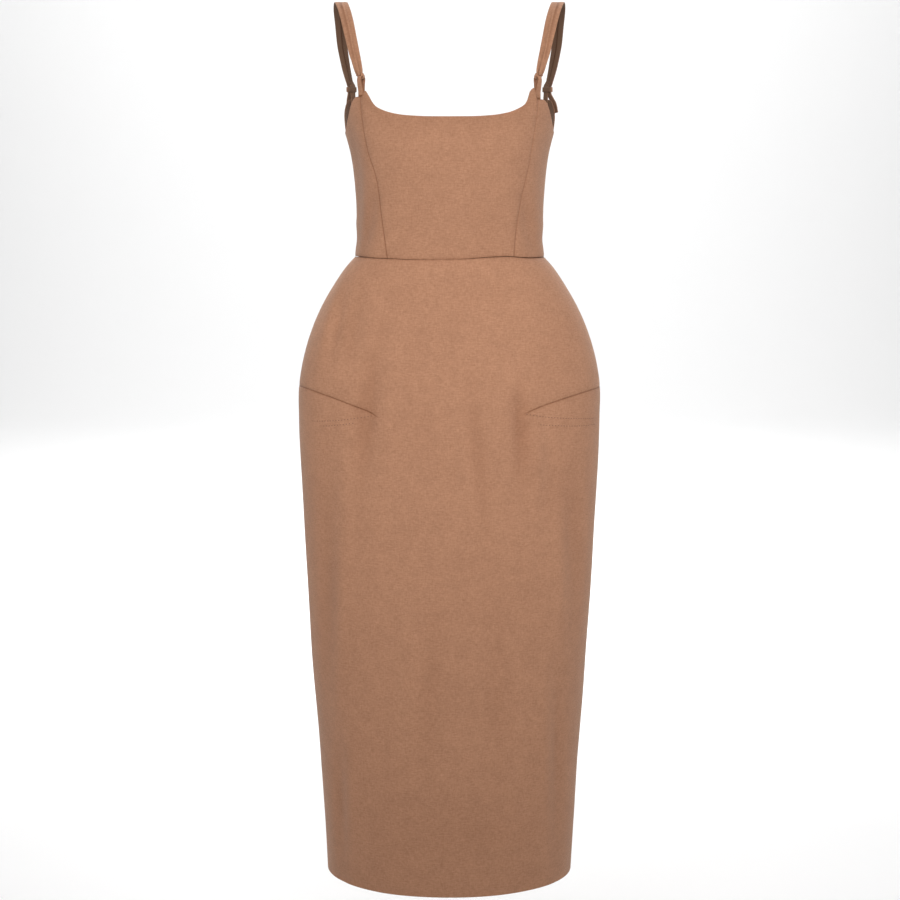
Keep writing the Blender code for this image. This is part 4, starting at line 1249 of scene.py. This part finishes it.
def repeatTree(name, seed):
    # small rounded pieces of thread along every line of the mesh it is given, each turned to its line
    tree = bpy.data.node_groups.new(name, "GeometryNodeTree")
    kinds = {"Geometry": "Geometry", "Pitch": "Float", "Unevenness": "Float", "Size": "Vector"}
    for label, kind in kinds.items():
        tree.interface.new_socket(label, in_out="INPUT", socket_type=f"NodeSocket{kind}")
    tree.interface.new_socket("Geometry", in_out="OUTPUT", socket_type="NodeSocketGeometry")
    given = addNode(tree, "NodeGroupInput").outputs
    line = firstOf(tree, "GeometryNodeMeshToCurve", None, {"Mesh": given["Geometry"]})
    spacing = {"Curve": line, "Length": given["Pitch"]}
    spaced = firstOf(tree, "GeometryNodeResampleCurve", {"mode": "LENGTH"}, spacing)
    tangent = firstOf(tree, "GeometryNodeInputTangent")
    facing = firstOf(tree, "FunctionNodeAlignRotationToVector", {"axis": "X"}, {"Vector": tangent})
    bead = firstOf(tree, "GeometryNodeMeshUVSphere", None, {"Segments": 8, "Rings": 5, "Radius": 0.5})
    low = firstOf(tree, "ShaderNodeMath", {"operation": "MULTIPLY"}, {0: given["Unevenness"], 1: -1.0})
    limits = {2: low, 3: given["Unevenness"], "Seed": seed}
    chance = addNode(tree, "FunctionNodeRandomValue", {"data_type": "FLOAT"}, limits).outputs[1]
    lean = firstOf(tree, "ShaderNodeCombineXYZ", None, {"Y": chance, "Z": chance})
    both = {"Rotation": facing, "Rotate By": firstOf(tree, "FunctionNodeEulerToRotation", None, {0: lean})}
    rotation = firstOf(tree, "FunctionNodeRotateRotation", {"rotation_space": "LOCAL"}, both)
    placing = {"Points": spaced, "Instance": bead, "Rotation": rotation, "Scale": given["Size"]}
    placed = firstOf(tree, "GeometryNodeInstanceOnPoints", None, placing)
    real = firstOf(tree, "GeometryNodeRealizeInstances", None, {"Geometry": placed})
    smooth = firstOf(tree, "GeometryNodeSetShadeSmooth", None, {"Geometry": real})
    done = firstOf(tree, "GeometryNodeSetMaterial", None, {"Geometry": smooth, "Material": thread})
    tree.links.new(done, addNode(tree, "NodeGroupOutput").inputs["Geometry"])
    return tree


def repeatAlong(name, lines, tree, pitch, uneven, size):
    edges, start = [], 0
    for line in lines:
        edges += [(start + k, start + k + 1) for k in range(len(line) - 1)]
        start += len(line)
    mesh = bpy.data.meshes.new(name)
    mesh.from_pydata(np.concatenate(lines).tolist(), edges, [])
    piece = addToScene(name, mesh)
    modifier = piece.modifiers.new("repeat", "NODES")
    modifier.node_group = tree
    values = {"Pitch": pitch, "Unevenness": uneven, "Size": size}
    for item in tree.interface.items_tree:
        if item.in_out == "INPUT" and item.name in values:
            modifier[item.identifier] = values[item.name]
    graph = bpy.context.evaluated_depsgraph_get()
    made = bpy.data.meshes.new_from_object(piece.evaluated_get(graph))
    piece.modifiers.remove(modifier)
    piece.data = made
    return piece


def makeZipTape():
    low, high = float(dartLevel(1.0)), zipParts["backNeck"] - zipParts["belowNeck"]
    counts = [round((waist - low) / zipParts["rowStep"]), round((high - waist) / zipParts["rowStep"])]
    levels = (np.linspace(low, waist, counts[0], endpoint=False), np.linspace(waist, high, counts[1]))
    shares = np.linspace(-1.0, 1.0, zipParts["columns"])
    faces, normals = [], []
    for form, rows in zip((skirtForm, bodiceForm), levels):
        level, x = np.meshgrid(rows, -zipParts["tapeHalf"] * shares, indexing="ij")
        turn = turnAtX(form, x, level, behind=True)
        faces.append(bodyPoint(form, turn, level))
        normals.append(outwardFrom(form, turn, level))
    face, normal = np.concatenate(faces), np.concatenate(normals)
    ripple = zipParts["ripple"] * np.sin(face[..., 2] / zipParts["rippleWave"]) * np.abs(shares)
    outer = standOff(face, normal, -(sewing["wall"] + zipParts["behindCloth"] + ripple))
    inner = outer - normal * zipParts["tapeThick"]
    chart = np.stack((shares * zipParts["tapeHalf"] + 0.0 * ripple, face[..., 2]), -1)
    piece = closedShell("zipTape", outer, inner, chart, 0.0, 0.0, False, zipTape)
    middle = zipParts["columns"] // 2
    teeth = inner[:, middle] - normal[:, middle] * zipParts["toothBehind"]
    lines = [teeth + np.array((side * zipParts["toothAside"], 0.0, 0.0)) for side in (-1, 1)]
    tree = repeatTree("zipCoil", 4)
    even = zipParts["toothUneven"]
    coil = repeatAlong("zipCoil", lines, tree, zipParts["toothPitch"], even, zipParts["toothSize"])
    finishPiece(coil, [])
    finishPiece(piece, ["zip_tape"])


def easedCopy(name, node, body):
    # the metal as it is, its corners eased as casting leaves them
    shape = bmesh.new()
    shape.from_mesh(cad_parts[node].data)
    bmesh.ops.remove_doubles(shape, verts=shape.verts[:], dist=1e-6)
    flat, corner = math.radians(1.0), math.radians(zipParts["edgeAngle"])
    bmesh.ops.dissolve_limit(shape, angle_limit=flat, verts=shape.verts[:], edges=shape.edges[:])
    sharp = [edge for edge in shape.edges if edge.calc_face_angle(0.0) > corner]
    width = {"offset": zipParts["edgeSoft"], "offset_type": "OFFSET", "segments": 2, "profile": 0.5}
    bmesh.ops.bevel(shape, geom=sharp, affect="EDGES", **width)
    bmesh.ops.recalc_face_normals(shape, faces=shape.faces[:])
    mesh = bpy.data.meshes.new(name)
    shape.to_mesh(mesh)
    shape.free()
    mesh.shade_smooth()
    mesh.set_sharp_from_angle(angle=math.radians(zipParts["shadeAngle"]))
    mesh.materials.clear()
    mesh.materials.append(zipEnamel)
    finishPiece(addToScene(name, mesh), [node], body)


def onSkirt(turn, level, depth):
    # points in the skirt's cloth, so far out from its outer face
    turn, level = np.broadcast_arrays(turn, level)
    depth = depth + relief(skirtForm, aroundAt(skirtForm, turn, level), level)
    return standOff(bodyPoint(skirtForm, turn, level), outwardFrom(skirtForm, turn, level), depth)


def makeStitches():
    hip, hemRow = stitches["hip"], stitches["hem"]
    rows = []
    for side, row in stitches["hipRows"]:
        x = np.linspace(row[0][0], row[-1][0], 40)
        level = readCurve(row, x)
        rows.append(onSkirt(side * turnAtX(skirtForm, x, level), level, -hip["sunk"]))
    tree = repeatTree("stitchRow", 11)
    piece = repeatAlong("hipStitches", rows, tree, hip["pitch"], hip["uneven"], hip["size"])
    finishPiece(piece, [])
    # from side to side in front, then from each side to the vent behind
    quarter, level = math.pi / 2, hem + sewing["hemTurn"] + stitches["aboveTurn"]
    short, count = stitches["fromSide"], stitches["points"]
    front = np.linspace(short - quarter, quarter - short, count)
    back = np.linspace(quarter + short, math.pi - stitches["fromVent"], count)
    rows = [onSkirt(turn, level, -sewing["wall"] - hemRow["sunk"]) for turn in (front, back, -back)]
    piece = repeatAlong("hemStitches", rows, tree, hemRow["pitch"], hemRow["uneven"], hemRow["size"])
    finishPiece(piece, [])


makeZipTape()
easedCopy("zipSlider", "zip_slider", "dress")
easedCopy("zipPull", "zip_pull", "pull")
print("zip made")
makeStitches()
print("stitches made")
